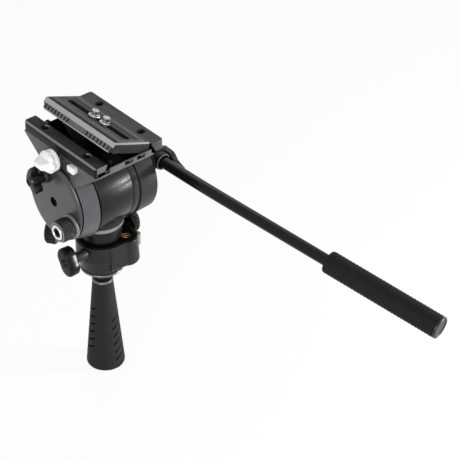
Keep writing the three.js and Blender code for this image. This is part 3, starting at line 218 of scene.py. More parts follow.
def prism(outline, low, high, axis="z", at=ORIGIN):
    """An outline pushed along an axis: (y, z) along x, (z, x) along y, (x, y) along z."""
    count = len(outline)
    points = [(u, v, depth) for depth in (low, high) for u, v in outline]
    near, far = list(range(count)), list(range(count, 2 * count))
    return new_object(onto_axis(points, axis, at), [near, far, *band(near, far)])


def block(low, high):
    (x0, y0, z0), (x1, y1, z1) = low, high
    return prism([(x0, y0), (x1, y0), (x1, y1), (x0, y1)], z0, z1)


def grid(rows, closed_ends=True):
    """A tube of rings, each a list of points. Ends that aren't drawn to a point are closed with a face."""
    count, points = len(rows[0]), [p for row in rows for p in row]
    rings = [list(range(i, i + count)) for i in range(0, len(points), count)]
    faces = [face for near, far in zip(rings, rings[1:]) for face in band(near, far)]
    if closed_ends:
        faces += [rings[0], rings[-1]]
    return new_object(points, faces)


def apply_modifiers(obj):
    graph = bpy.context.evaluated_depsgraph_get()
    graph.update()
    mesh = bpy.data.meshes.new_from_object(obj.evaluated_get(graph))
    obj.modifiers.clear()
    obj.data = mesh
    return obj


def combine(obj, tools, operation="DIFFERENCE"):
    """Cuts the tools from the object, or adds them to it, and removes them."""
    for tool in tools:
        change = obj.modifiers.new("combine", "BOOLEAN")
        change.operation, change.object, change.solver = operation, tool, "EXACT"
        apply_modifiers(obj)
        bpy.data.objects.remove(tool)
    tidy_mesh(obj.data)
    return obj


def soften(obj, width, segments=2, angle=28):
    """Breaks the hard edges with a small round, as a cast or moulded piece has."""
    work = bmesh.new()
    work.from_mesh(obj.data)
    bmesh.ops.remove_doubles(work, verts=work.verts, dist=5e-6)
    flat = math.radians(1.0)
    bmesh.ops.dissolve_limit(work, angle_limit=flat, verts=work.verts, edges=work.edges, delimit=set())
    work.to_mesh(obj.data)
    work.free()
    change = obj.modifiers.new("soften", "BEVEL")
    change.width, change.segments = width * MM, segments
    change.limit_method, change.angle_limit = "ANGLE", math.radians(angle)
    change.use_clamp_overlap, change.miter_outer = True, "MITER_ARC"
    return apply_modifiers(obj)


def turned_about(obj, axis, angle, centre=ORIGIN):
    """Turns the mesh about a point, in place."""
    at = Vector(centre) * MM
    obj.data.transform(Matrix.Translation(at) @ Matrix.Rotation(angle, 4, axis) @ Matrix.Translation(-at))
    return obj


def copied(node):
    """A welded copy of a CAD node's mesh, to be refined."""
    obj = linked(node + "_copy", nodes[node].data.copy())
    obj.data.materials.clear()
    tidy_mesh(obj.data)
    return obj


def dress(obj, name, body, material, slot, *stands_for, smooth=32):
    """Finishes a piece: its name, shading, material, body, and the CAD nodes that it stands for."""
    obj.name = name
    obj.data.name = name
    obj.data.polygons.foreach_set("use_smooth", [True] * len(obj.data.polygons))
    obj.data.set_sharp_from_angle(angle=math.radians(smooth))
    obj.data.materials.clear()
    obj.data.materials.append(material)
    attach(obj, body)
    if stands_for:
        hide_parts(*stands_for)
    return obj


def refined(node, name, body, material, slot, width, segments=2, tools=()):
    """The CAD solid with its edges broken and any further cuts made."""
    obj = copied(node)
    if tools:
        obj = combine(obj, tools)
    return dress(soften(obj, width, segments), name, body, material, slot, node, smooth=30)


def edge_faces(obj, material, chosen):
    """Gives the faces that a test picks, by normal and middle in millimetres, a further material."""
    number = len(obj.data.materials)
    obj.data.materials.append(material)
    for face in obj.data.polygons:
        if chosen(face.normal, face.center / MM):
            face.material_index = number


# Materials
def feed(tree, target, inputs):
    """Sets a shader node's inputs. A value is written, and another node's output is linked."""
    for key, value in inputs.items():
        if isinstance(value, bpy.types.NodeSocket):
            tree.links.new(value, target.inputs[key])
        else:
            target.inputs[key].default_value = value


def add_node(tree, kind, inputs=None, **settings):
    made = tree.nodes.new("ShaderNode" + kind)
    for key, value in settings.items():
        setattr(made, key, value)
    feed(tree, made, inputs or {})
    return made


def principled(name):
    """A new material, its node tree and its shader."""
    material = bpy.data.materials.new(name)
    material.use_nodes = True
    return material, material.node_tree, material.node_tree.nodes["Principled BSDF"]


def surface(name, colour, roughness, metallic=0.0, *, mottle=0.12, mottle_size=7.0, grain=0.02,
            grain_size=0.6, wear=0.0, rough_spread=0.08, brushed=None, coat=0.0, specular=0.5):
    """A painted, moulded or turned surface. Its grain and mottle sizes are in millimetres."""
    material, tree, shader = principled(name)
    place = add_node(tree, "TexCoord").outputs["Object"]
    fine_place = place
    if brushed:
        fine_place = add_node(tree, "Mapping", {"Scale": brushed, "Vector": place}).outputs["Vector"]

    def noise(size, detail, where):
        inputs = {"Scale": 1.0 / (size * MM), "Detail": detail, "Roughness": 0.55, "Vector": where}
        return add_node(tree, "TexNoise", inputs).outputs["Fac"]

    cloud, fine = noise(mottle_size, 4.0, place), noise(grain_size, 3.0, fine_place)
    colours = add_node(tree, "ValToRGB", {"Fac": cloud})
    for stop, position, share in zip(colours.color_ramp.elements, (0.3, 0.7), (1 - mottle, 1 + mottle)):
        stop.position = position
        stop.color = (*(min(1.0, c * share) for c in colour), 1)
    final = colours.outputs["Color"]
    # A patchy lighter grey on sharp edges: a painted edge highlight.
    if wear:
        edge = add_node(tree, "NewGeometry").outputs["Pointiness"]
        inputs = {"From Min": 0.52, "From Max": 0.6, "To Max": wear, "Value": edge}
        sharp = add_node(tree, "MapRange", inputs)
        patchy = add_node(tree, "Math", {0: sharp.outputs["Result"], 1: cloud}, operation="MULTIPLY")
        mix = add_node(tree, "Mix", {"Factor": patchy.outputs[0], "A": final, "B": (0.32, 0.32, 0.33, 1)},
                       data_type="RGBA")
        final = mix.outputs["Result"]
    rough = add_node(tree, "MapRange", {
        "From Min": 0.25, "From Max": 0.75, "Value": fine,
        "To Min": max(0.02, roughness - rough_spread), "To Max": min(1.0, roughness + rough_spread),
    })
    bump = add_node(tree, "Bump", {"Distance": grain * MM, "Strength": 1.0, "Height": fine})
    feed(tree, shader, {
        "Metallic": metallic, "Specular IOR Level": specular, "Coat Weight": coat, "Coat Roughness": 0.12,
        "Base Color": final, "Roughness": rough.outputs["Result"], "Normal": bump.outputs["Normal"],
    })
    return material


def paint(name, colour, roughness, specular, grain=0.012, **more):
    return surface(name, colour, roughness, specular=specular, grain=grain, **more)


def anodised(name, colour, specular=0.15):
    return surface(name, colour, 0.42, specular=specular, grain=0.01, grain_size=0.35)


def plastic(name, colour, roughness, specular, grain=0.01, **more):
    return surface(name, colour, roughness, specular=specular, grain=grain, **more)


def metal(name, colour, roughness, metallic=1.0, grain=0.006, **more):
    return surface(name, colour, roughness, metallic, grain=grain, **more)


def rubber(name, colour, roughness, specular, grain=0.015, grain_size=0.5, **more):
    return surface(name, colour, roughness, specular=specular, grain=grain, grain_size=grain_size, **more)


# The base's paint has a painted edge highlight on its sharp edges.
BASE_PAINT = paint("satin_base_paint", (0.014, 0.0138, 0.0147), 0.36, 0.2, wear=0.15)
DRUM_PAINT = paint("satin_drum_paint", (0.0055, 0.0054, 0.0058), 0.28, 0.22)
RING_PAINT = paint("satin_ring_paint", (0.02, 0.0198, 0.021), 0.34, 0.18)
# A lighter copy of the far cheek's black paint: painted light on the lit near cheek.
CHEEK_PAINT_LIT = paint("satin_cheek_painted_light", (0.062, 0.0614, 0.0645), 0.36, 0.5)
FAR_PAINT = paint("satin_far_paint", (0.016, 0.0157, 0.0167), 0.38, 0.25)
COVER_PAINT = paint("satin_cover_paint", (0.03, 0.0296, 0.0311), 0.32, 0.7)
BLOCK_PAINT = paint("cast_block_paint", (0.05, 0.0494, 0.0522), 0.4, 0.6, 0.02, grain_size=0.7)
# Near black for the channel floor under the plate: painted shade.
CHANNEL_FLOOR_SHADE = paint("channel_floor_painted_shade", (0.0012, 0.0012, 0.0013), 0.55, 0.04, 0.02)
LIP_PAINT = paint("platform_lip_paint", (0.08, 0.0788, 0.0825), 0.45, 0.3, 0.02)
# A lighter copy of the rails' black: painted light on the near rail's front end faces.
RAIL_END_LIT = paint("rail_end_painted_light", (0.08, 0.0788, 0.083), 0.45, 0.3, 0.015)
# Black anodising of the rails, also used as painted shade in the plate's side grooves.
ANODISED_AND_GROOVE_SHADE = anodised("black_anodised_and_painted_shade", (0.008, 0.0078, 0.0083), 0.1)
# A lighter copy of the black anodising: painted light on the far rail.
FAR_RAIL_LIT = anodised("far_rail_painted_light", (0.05, 0.049, 0.052))
PLATE_METAL = anodised("plate_anodised", (0.031, 0.0303, 0.0325))
# A darker copy of the plate's anodising: painted shade on its front end face.
PLATE_END_SHADED = anodised("plate_end_painted_shade", (0.014, 0.0137, 0.0147))
# A lighter metal for the near rail's chamfer: a painted highlight along that edge.
RAIL_EDGE_HIGHLIGHT = metal("rail_edge_painted_highlight", (0.17, 0.168, 0.175), 0.4, 0.3, 0.01, specular=0.4, mottle=0.2,
                   mottle_size=4.0)
PLATE_EDGE = metal("plate_machined_edge", (0.34, 0.337, 0.344), 0.34, 0.4, mottle=0.05, grain_size=0.5,
                   brushed=(1.0, 0.03, 1.0))
PLATE_LIP = metal("plate_front_lip", (0.24, 0.237, 0.245), 0.42, 0.2, mottle=0.08)
PLATE_RIB = metal("plate_ribbed_side", (0.1, 0.0985, 0.102), 0.45, 0.1, specular=0.3)
CHROME = metal("bright_steel", (0.78, 0.78, 0.79), 0.16, grain=0.003, mottle=0.05, rough_spread=0.04)
STUD_STEEL = metal("stud_steel", (0.5, 0.5, 0.51), 0.26, mottle=0.08)
PALE_METAL = metal("pale_turned_metal", (0.24, 0.24, 0.245), 0.3, 0.6, mottle=0.1)
STEEL = metal("plain_steel", (0.4, 0.4, 0.41), 0.32, grain=0.008)
DARK_STEEL = metal("blackened_steel", (0.02, 0.02, 0.021), 0.32, 0.3, 0.008, specular=0.2)
SATIN_STEM = metal("satin_stem", (0.16, 0.16, 0.164), 0.32, 0.75, mottle=0.08)
BRASS = metal("brass", (0.62, 0.36, 0.12), 0.3, grain=0.008, mottle=0.15, mottle_size=2.5)
WING_PLASTIC = plastic("gloss_black_plastic", (0.004, 0.004, 0.0042), 0.24, 0.45, 0.006, mottle=0.2)
BLACK_PLASTIC = plastic("black_plastic", (0.004, 0.004, 0.0042), 0.26, 0.15, 0.006, mottle=0.2)
# Matt black: the real black plastic, and also painted shade in grooves, gaps, holes, notches and sockets.
MATT_BLACK_AND_SHADE = plastic("matt_black_plastic_and_painted_shade", (0.0015, 0.0015, 0.0015), 0.45, 0.05)
# A dark grey, lighter than the other black plastics.
RIB_PLASTIC = plastic("dark_grey_ribbed_plastic", (0.018, 0.018, 0.0185), 0.4, 0.2)
WHITE_PLASTIC = plastic("white_plastic", (0.8, 0.8, 0.8), 0.34, 0.4, 0.008, mottle=0.02, coat=0.1)
COLLAR_GREY = plastic("grey_plastic_collar", (0.16, 0.16, 0.163), 0.38, 0.4)
GREY_PLASTIC = plastic("grey_plastic", (0.2, 0.2, 0.205), 0.45, 0.5)
LEVER_PLASTIC = plastic("satin_lever_plastic", (0.013, 0.013, 0.0135), 0.34, 0.25)
CAP_PLASTIC = plastic("dark_cap_plastic", (0.014, 0.014, 0.0145), 0.36, 0.25)
GLOSS_TUBE = plastic("gloss_black_tube", (0.003, 0.003, 0.0032), 0.13, 0.2, 0.0, mottle=0.1, grain_size=3.0,
                     rough_spread=0.02)
RUBBER = rubber("moulded_rubber", (0.014, 0.0139, 0.0143), 0.6, 0.12, mottle=0.08)
FOAM = rubber("ribbed_rubber", (0.011, 0.011, 0.0113), 0.65, 0.08, grain_size=0.6)
PAD_RUBBER = rubber("pad_rubber", (0.085, 0.085, 0.088), 0.6, 0.15, 0.02, mottle=0.1)


def glass():
    """The green liquid of the level."""
    material, tree, shader = principled("vial_liquid")
    ramp = add_node(tree, "ValToRGB", {"Fac": add_node(tree, "TexNoise", {"Scale": 300}).outputs["Fac"]})
    for stop, colour in zip(ramp.color_ramp.elements, ((0.5, 0.72, 0.12, 1), (0.62, 0.82, 0.2, 1))):
        stop.color = colour
    feed(tree, shader, {"Transmission Weight": 0.85, "Roughness": 0.04, "Base Color": ramp.outputs["Color"]})
    return material


VIAL = glass()


# Camera, fitted once to the photograph
def make_camera():
    azimuth, elevation = math.radians(-40.52), math.radians(35.64)
    focal_pixels, photo_pixels, sensor = 2222, 460, 36.0
    aside, raised, distance, aim_height = 104.67, 3.70, 1800, 30
    right = Vector((math.cos(azimuth), math.sin(azimuth), 0))
    level = math.cos(elevation)
    back = Vector((math.sin(azimuth) * level, -math.cos(azimuth) * level, math.sin(elevation)))
    up = back.cross(right)
    data = bpy.data.cameras.new("camera")
    data.sensor_width, data.lens = sensor, sensor * focal_pixels / photo_pixels
    data.clip_start, data.clip_end = 0.1, 20
    camera = linked("camera", data)
    camera.location = (Vector((0, 0, aim_height)) + right * aside + up * raised + back * distance) * MM
    camera.rotation_mode = "QUATERNION"
    camera.rotation_quaternion = Matrix((right, up, back)).transposed().to_quaternion()
    bpy.context.scene.camera = camera


make_camera()


# Tie-down grip
def grip_rows():
    """Rings of the tapered grip, with slanted finger grooves in three patches."""
    (top_radius, top), (foot_radius, foot) = GRIP_TOP, GRIP_FOOT
    facets, step = 180, 0.4
    outline = [(0.01, foot), (foot_radius, foot), (top_radius, top), (0.01, top)]
    profile = rounded(outline, 3.4, 8, skip=(2,))
    dense = []
    for (r0, z0), (r1, z1) in zip(profile, profile[1:]):
        count = max(1, int(abs(z1 - z0) / step))
        dense += [(r0 + (r1 - r0) * k / count, z0 + (z1 - z0) * k / count) for k in range(count)]
    dense.append(profile[-1])
    pitch, deepest, half_width, slant = 7.6, 1.7, 1.3, math.tan(math.radians(26.0))
    fade_arc, slimmest = 9, 9.2
    # each patch: the angle of its middle, half its arc, the height of its lowest groove, and how many follow
    patches = ((-62.0, 38.0, foot + 5.8, 6), (118.0, 30.0, foot + 5.8, 6), (172.0, 24.0, foot + 21.0, 5))

    def groove(angle, radius, z):
        depth = 0.0
        for middle, reach, lowest, last in patches:
            off = (math.degrees(angle) - middle + 180) % 360 - 180
            rise = z - lowest - radius * math.sin(math.radians(off)) * slant
            number = round(rise / pitch)
            across = abs(rise - number * pitch) / half_width
            if abs(off) < reach and 0 <= number <= last and across < 1:
                fade = min(1.0, (reach - abs(off)) / fade_arc)
                depth = max(depth, deepest * fade * swell(math.pi * across))
        return depth if radius > slimmest else 0

    return [ring([max(0.01, r - groove(a, r, z)) for a in angles(facets)], z) for r, z in dense]


def make_tie_down():
    (top_radius, top), (foot_radius, foot) = GRIP_TOP, GRIP_FOOT
    taper, sunk, lowest, highest = (foot_radius - top_radius) / (top - foot), 0.55, -95, -30
    grip = grid(grip_rows())
    dress(grip, "grip_shell", "tie_down", RUBBER, "rubber", "tie_down_grip", smooth=50)
    # The faces deep in the finger grooves are painted matt black: painted shade in the grooves.
    edge_faces(grip, MATT_BLACK_AND_SHADE, lambda n, at: lowest < at.z < highest
               and math.hypot(at.x, at.y) < top_radius + taper * (top - at.z) - sunk)
    profile = [(4.9, -14.5), (8.9, -14.5), (8.9, -14.1), (7.6, -12.7), (4.9, -12.7)]
    collar = lathe(profile, edge=0.2)
    dress(collar, "grip_collar", "tie_down", SATIN_STEM, "bright", "tie_down_collar")


# Base
def lobe_outline(inset):
    """The base's boss from above: round the accessory thread, round a side lobe, and back to the middle."""
    tangent = math.degrees(math.atan2(SIDE_LOBE[1] - INSERT[1], SIDE_LOBE[0] - INSERT[0])) - 90
    start = arc(0, 0, BASE_RADIUS - inset - 0.15, -105, -105, 1)[0]
    thread_side = arc(*INSERT, 9.6 - inset, -125, tangent, 30)
    return [start, *thread_side, *arc(*SIDE_LOBE, 8.6 - inset, tangent, 64, 20), (0, 10.4)]


def reach_of(outline, angle):
    """How far a ray from the pan axis runs before it leaves a closed outline."""
    dx, dy = math.cos(angle), math.sin(angle)
    best = 0.0
    for (x0, y0), (x1, y1) in zip(outline, outline[1:] + outline[:1]):
        ex, ey = x1 - x0, y1 - y0
        det = -dx * ey + dy * ex
        if abs(det) < 1e-9:
            continue
        t = (-x0 * ey + y0 * ex) / det
        s = (dx * y0 - dy * x0) / det
        if t > best and -1e-9 <= s <= 1 + 1e-9:
            best = t
    return best


def smooth_max(a, b, blend):
    h = max(blend - abs(a - b), 0.0) / blend
    return max(a, b) + h * h * blend / 4


def base_rows(facets=288):
    """Rings of the base about the pan axis: the bowl, the chin, and the boss that grows out of them."""
    foot, corner, steps = 5.7, 3.6, 8               # the boss's foot, and the round under it
    spread, blend, least, bore = 1.4, 2.6, 12, 13.8
    profile = [(4.9, -12.4), (8.3, -12.4), (8.3, -8.9), (8.6, -8.2), (11.3, -6.2), (15.2, -2.6),
               (16.9, -0.6), (17.2, 0.0), (17.2, 0.4), (17.25, 1.5), (17.45, 2.6), (18.3, 8.0),
               (19.35, 13.3), (19.4, 13.6), (20.6, 14.3), (BASE_RADIUS, 14.7), (BASE_RADIUS, BODY_TOP)]
    heights = (10.5, 12.0, 13.3, 13.6, 14.3, 14.7, 16, 18, 20, 22, 24, 26, 27.4)
    top_edge = ((28.4, 0.0), (28.9, 0.15), (29.1, 0.35), (BODY_TOP, 0.7))
    outline = lobe_outline(0)
    lobe = [reach_of(outline, a) for a in angles(facets)]

    def circle_at(z):
        for (r0, z0), (r1, z1) in zip(profile, profile[1:]):
            if z0 <= z <= z1 and z1 > z0:
                return r0 + (r1 - r0) * (z - z0) / (z1 - z0)

    def with_boss(z, radius, inset):
        grown = spread * (BODY_TOP - z) / (BODY_TOP - foot) - inset
        return ring([smooth_max(radius, r + grown, blend) if r > least else radius for r in lobe], z)

    rows = [ring([r] * facets, z) for r, z in profile if z < foot]
    rows.append(ring([circle_at(foot)] * facets, foot))
    for k in range(steps + 1):
        t = k / steps * math.pi / 2
        z = foot + corner * (1 - math.cos(t))
        rows.append(with_boss(z, circle_at(z), corner * (1 - math.sin(t))))
    rows += [with_boss(z, circle_at(z), 0.0) for z in heights]
    rows += [with_boss(z, BASE_RADIUS - inset, inset) for z, inset in top_edge]
    rows.append(ring([bore] * facets, BODY_TOP))
    return rows


def make_base():
    body = combine(grid(base_rows()), [
        rod(PIN_BORE, -24, 0, "x", PAN_LOCK),
        rod(6.7, 17.2, 40, "z", INSERT_AT, PLAIN),
        rod(3.6, 12.9, 40, "z", LEVEL),
    ])
    dress(body, "base_casting", "base", BASE_PAINT, "black_paint", "base_body", smooth=26)
    edge_faces(body, MATT_BLACK_AND_SHADE, lambda n, at: at.z < -10.6)
    rim = lathe([(17.4, -0.5), (17.9, -0.5), (18.15, 0.5), (17.9, 1.2), (17.4, 1.2)], edge=0.2)
    dress(rim, "base_bright_rim", "base", SATIN_STEM, "bright", "base_rim")


def make_base_cover():
    """The flat cover on the base, with windows for the level and the accessory thread."""
    low = BODY_TOP + SEAM
    cover = combine(rod(20.4, low, BASE_TOP, facets=FINE), [
        prism(lobe_outline(0.4), low, BASE_TOP),
    ], "UNION")
    cover = combine(cover, [
        rod(13.2, 25, 40, facets=PLAIN),
        rod(5.0, 25, 40, "z", INSERT_AT, PLAIN),
        rod(3.6, 25, 40, "z", LEVEL),
    ])
    dress(soften(cover, 0.3), "base_top_cover", "base", MATT_BLACK_AND_SHADE, "black_plastic", "base_top_plate")


def make_accessory_thread():
    profile = [(4.3, 17.5), (6.4, 17.5), (6.4, 28.9), (4.3, 28.9)]
    insert = lathe(profile, "z", INSERT_AT, PLAIN, 0.5)
    threads = []
    for k in range(6):
        z = 19 + 1.5 * k
        threads.append(lathe([(4.05, z), (4.5, z - 0.5), (4.5, z + 0.5)], "z", INSERT_AT, PLAIN))
    dress(combine(insert, threads, "UNION"), "accessory_thread", "base", BRASS, "brass", "accessory_insert")


def ribbed_rows(profile, at, teeth, depth, ribbed):
    """Rings along x, with upright ribs in those that a test of radius and place picks."""
    rows = []
    for r, along in profile:
        cut = depth if ribbed(r, along) else 0
        rows.append(ring([r - cut * (1 - swell(teeth * a)) for a in angles(teeth * 8)], along, "x", at))
    return rows


def make_drag_knob(drag, radius, start, thickness, place, stem_from, ribs=30, turn=0.0):
    """A drag knob along +X, turned about the pan axis: ribbed rim, dished outer face and a stem."""
    depth, chamfer, dish, stem = 0.5, 1.3, 1.1, 2.5
    inner, shoulder, top = radius - 2.6, radius - chamfer, thickness - chamfer
    profile = rounded(filled([
        (shoulder, 0), (radius, chamfer), (radius, top), (shoulder, thickness), (inner, thickness),
        (inner - 0.8, thickness - dish),
    ]), 0.6, 3)
    rows = ribbed_rows(profile, (start, *place), ribs, depth, lambda r, along: r > radius - 0.5
                       and chamfer - 0.3 < along < top + 0.3)
    stem_rod = rod(stem, stem_from, start + 0.5, "x", (0, *place))
    knob = combine(grid(rows, closed_ends=False), [stem_rod], "UNION")
    if turn:
        turned_about(knob, "Z", turn)
    dress(knob, f"{drag}_grip", drag, BLACK_PLASTIC, "black_plastic", f"{drag}_knob")


# Wing knobs
WING_SHAPE = [
    (-1.0, 13.8), (1.4, 11.2), (3.1, 8.3), (4.9, 3.3), (5.2, 0.1), (3.7, -3.0), (0.6, -5.8), (-1.9, -8.9),
    (-4.5, -10.2), (-6.2, -8.6), (-6.8, -6.4), (-6.0, -3.8), (-3.4, -1.6), (-1.8, 1.8), (-1.4, 5.0),
    (-2.2, 9.5), (-2.2, 12.5),
]


def wing_face(at, start_x):
    """Two wings that sweep round the hub."""
    outline = rounded(WING_SHAPE, 1.2, 3, closed=True)
    return soften(prism(outline, start_x - WING_LENGTH, start_x - 3.4, "x", at), 0.9, 3, 40)


def lobed_face(at, start_x, facets=96):
    """A full, domed face that stands out a little further on two opposite sides."""
    reach, waist, lean = 12.4, 7.4, math.radians(62)
    end = start_x - WING_LENGTH
    shape = [waist + (reach - waist) * swell(2 * (a - lean)) for a in angles(facets)]
    stations = ((start_x - 1.0, 0.8), (start_x - 1.3, 0.9), (start_x - 2.4, 0.98), (end + 2.4, 1.0),
                (end + 1.1, 0.97), (end + 0.4, 0.91), (end + 0.1, 0.83), (end, 0.74))
    return grid([ring([r * share for r in shape], x, "x", at) for x, share in stations])


def make_lock(lock, at, knob_x, face, material, inner_x, collar, proud, slot_depth, facets, edge):
    """A lock: a knob of the given face about a hub, and a pin that stands proud of it with a slotted end."""
    end, beyond = knob_x - WING_LENGTH, knob_x + 3
    barrel = [(3.9, end - 0.9), (4.8, end + 0.6), (5.0, knob_x)]
    recess = [(2.9, end - 5), (2.7, end + 0.3), (2.6, beyond)]
    knob = combine(face, [lathe(filled(barrel), "x", at, PLAIN, 0.5)], "UNION")
    knob = combine(knob, [lathe(filled(recess), "x", at, SMALL)])
    dress(knob, f"{lock}_wings", lock, material, "black_plastic", f"{lock}_knob", smooth=35)
    shank, neck, head = 2.2, 2.3, end - proud
    profile = [(shank, inner_x), (shank, collar[0][1]), *collar, (neck, knob_x + SEAM), (neck, head)]
    slot = block((head - 2, at[1] - 3, at[2] - 0.4), (head + slot_depth, at[1] + 3, at[2] + 0.4))
    pin = combine(lathe(filled(profile), "x", at, facets, edge), [turned_about(slot, "X", 0.5, at)])
    dress(pin, f"{lock}_pin", lock, CAP_PLASTIC, "steel", f"{lock}_spindle")


def make_pan_lock():
    face, collar = lobed_face(PAN_LOCK, PAN_KNOB_X), [(4.6, -21.1), (4.6, PAN_KNOB_X + SEAM)]
    make_lock("pan_lock", PAN_LOCK, PAN_KNOB_X, face, BLACK_PLASTIC, -11.2, collar,
              proud=1.7, slot_depth=0.7, facets=SMALL, edge=0.25)


# Drum and cheeks, about the tilt axis
def flat_top():
    """What lies above the flat on top of the cheeks."""
    side, reach, flat_z, beyond = 42, 50, 100.6, 140
    return block((-side, TILT[1] - reach, flat_z), (side, TILT[1] + reach, beyond))


def knob_holes(low, high):
    """Holes for the pins of the two tilt knobs."""
    return [rod(PIN_BORE, low, high, "x", at) for at in (TILT_LOCK, TILT_DRAG)]


def make_pedestal():
    """A dark satin neck with a bright shoulder, hollowed for the drum that sits in it."""
    split, top, bore = 42.8, 47.3, 7.3
    neck_section = [(bore, 31.3), (17.0, 31.3), (17.3, 33.0), (17.3, split), (bore, split)]
    shoulder_section = [(bore, split), (17.6, split), (18.8, split + 1.0), (19.6, top), (bore, top)]
    drum = filled([(37.2, -24), (37.2, DRUM_NEAR_X), (34.2, COVER_X), (34.6, COVER_X + 0.3), (34.6, 30)])
    neck = lathe(rounded(neck_section, 0.4, 3, closed=True))
    shoulder = lathe(rounded(shoulder_section, 0.3, 3, closed=True))
    for piece in (neck, shoulder):
        combine(piece, [lathe(drum, "x", TILT)])
    dress(neck, "pedestal_neck", "pan_head", DRUM_PAINT, "bright_aluminium", "pan_pedestal", smooth=30)
    dress(shoulder, "pedestal_shoulder", "pan_head", PALE_METAL, "bright_aluminium", smooth=30)


def make_drum():
    bore, wall, back, front = 10.3, 30.3, DRUM_NEAR_X + 3.6, COVER_X - SEAM
    profile = [(bore, -19.9), (36.8, -19.9), (33.9, front), (wall, front), (wall, back), (bore, back)]
    housing = lathe(profile, "x", TILT, ROUND, 0.45)
    dress(housing, "drum_shell", "pan_head", DRUM_PAINT, "black_paint", "drum_housing", smooth=30)
    # A matt black ring in the gap between the near cheek and the drum: painted shade in that gap.
    gap_ring = tube(bore, 35.6, DRUM_NEAR_X, -19.8, "x", TILT, ROUND)
    dress(gap_ring, "drum_gap_shade_ring", "pan_head", MATT_BLACK_AND_SHADE, "black_plastic", smooth=30)
    cover = tube(bore, 34.3, COVER_X, DRUM_FAR_X, "x", TILT, ROUND, 0.5)
    dress(cover, "drum_end_ring", "pan_head", RING_PAINT, "black_paint", "drum_cover", smooth=30)


def make_near_cheek():
    profile = [(0, BLOCK_NEAR_X), (32.6, BLOCK_NEAR_X), (32.6, -35.7), (34.0, -35.7), (37.1, -21.5),
               (35.4, -21.2), (0, -20.9)]
    near = combine(lathe(profile, "x", TILT, ROUND, 0.25), [
        flat_top(),
        rod(SHAFT_BORE, BLOCK_NEAR_X + 3.6, -10, "x", TILT, PLAIN),
        rod(SCREW_BORE, -45, -30, "x", TILT),
        *knob_holes(-45, -28.1),
    ])
    # The near cheek takes the lighter copy of the cheek paint: painted light on its lit side.
    dress(near, "near_cheek_casting", "tilt_frame", CHEEK_PAINT_LIT, "black_paint", "near_cheek", smooth=30)
    # The cheek's step under the end cover's rim is painted matt black: painted shade in the gap between
    # them.
    edge_faces(near, MATT_BLACK_AND_SHADE, lambda n, at: at.x < -35.6)


def make_end_cover():
    """The near cheek's crowned cover, with a recess for its screw whose walls are painted matt black as
    painted shade.
    """
    back, rim, round_width, steps = BLOCK_NEAR_X - SEAM, 33.8, 5.2, 8
    round_depth, hole = back - END_COVER_X - 0.5, 4.1
    crown = [(0, back), (rim, back)]
    for k in range(1, steps + 1):
        a = k / steps * math.pi / 2
        crown.append((rim - round_width * (1 - math.cos(a)), back - round_depth * math.sin(a)))
    crown += [(20, END_COVER_X + 0.16), (10, END_COVER_X + 0.03), (0, END_COVER_X)]
    recess = filled([(4.6, -44), (hole, END_COVER_X + 0.35), (hole, END_COVER_X + 2.0)])
    cover = combine(lathe(crown, "x", TILT, ROUND), [
        lathe(recess, "x", TILT, PLAIN),
        rod(SCREW_BORE, -44, -30, "x", TILT),
        *knob_holes(-44, -30),
    ])
    dress(cover, "end_cover", "tilt_frame", COVER_PAINT, "black_paint", "near_end_cover", smooth=30)
    # The walls of the screw's recess are painted matt black: painted shade in the hole.
    edge_faces(cover, MATT_BLACK_AND_SHADE, lambda n, at: math.hypot(at.y - TILT[1], at.z - TILT[2]) < 4.7
               and at.x > END_COVER_X + 0.05)


def make_far_cheek():
    profile = [(35.6, 20.9), (34.9, 35.8), (34.9, 37.2), (34.0, 38.6), (32.4, 39.3), (30.8, FAR_CHEEK_X)]
    far = combine(lathe(filled(profile), "x", TILT, ROUND, 0.5), [
        flat_top(),
        rod(SHAFT_BORE, 10, 36.0, "x", TILT, PLAIN),
        rod(2.9, 34.0, 45, "x", ROSETTE),
    ])
    dress(far, "far_cheek_casting", "tilt_frame", FAR_PAINT, "black_paint", "far_cheek", smooth=30)


def make_cover_screw():
    """The end cover's screw: a socket head deep inside its hole, painted matt black as painted shade."""
    seat = END_COVER_X + 1.7
    end, top = seat + 4.5, seat - 0.6
    screw = lathe(filled([(1.8, end), (1.8, seat), (3.4, seat), (3.4, top)]), "x", TILT, SMALL, 0.2)
    socket = rod(1.7, seat - 3, seat + 1.2, "x", TILT, 6)
    dress(combine(screw, [socket]), "end_cover_screw", "tilt_frame", MATT_BLACK_AND_SHADE, "steel", "cover_screw")


# Platform
def make_platform_block():
    casting = refined("platform_block", "platform_casting", "tilt_frame", BLOCK_PAINT, "black_paint", 0.35)
    # The channel floor between the rails is painted near black: painted shade.
    edge_faces(casting, CHANNEL_FLOOR_SHADE, lambda n, at: n.z > 0.9 and at.z > 121 and -26.2 < at.x < 19.8)
    # The front faces at the far end of the block are painted matt black: painted shade in the notches there.
    edge_faces(casting, MATT_BLACK_AND_SHADE, lambda n, at: at.x > 12 and at.y < -44.5 and at.z > 119)


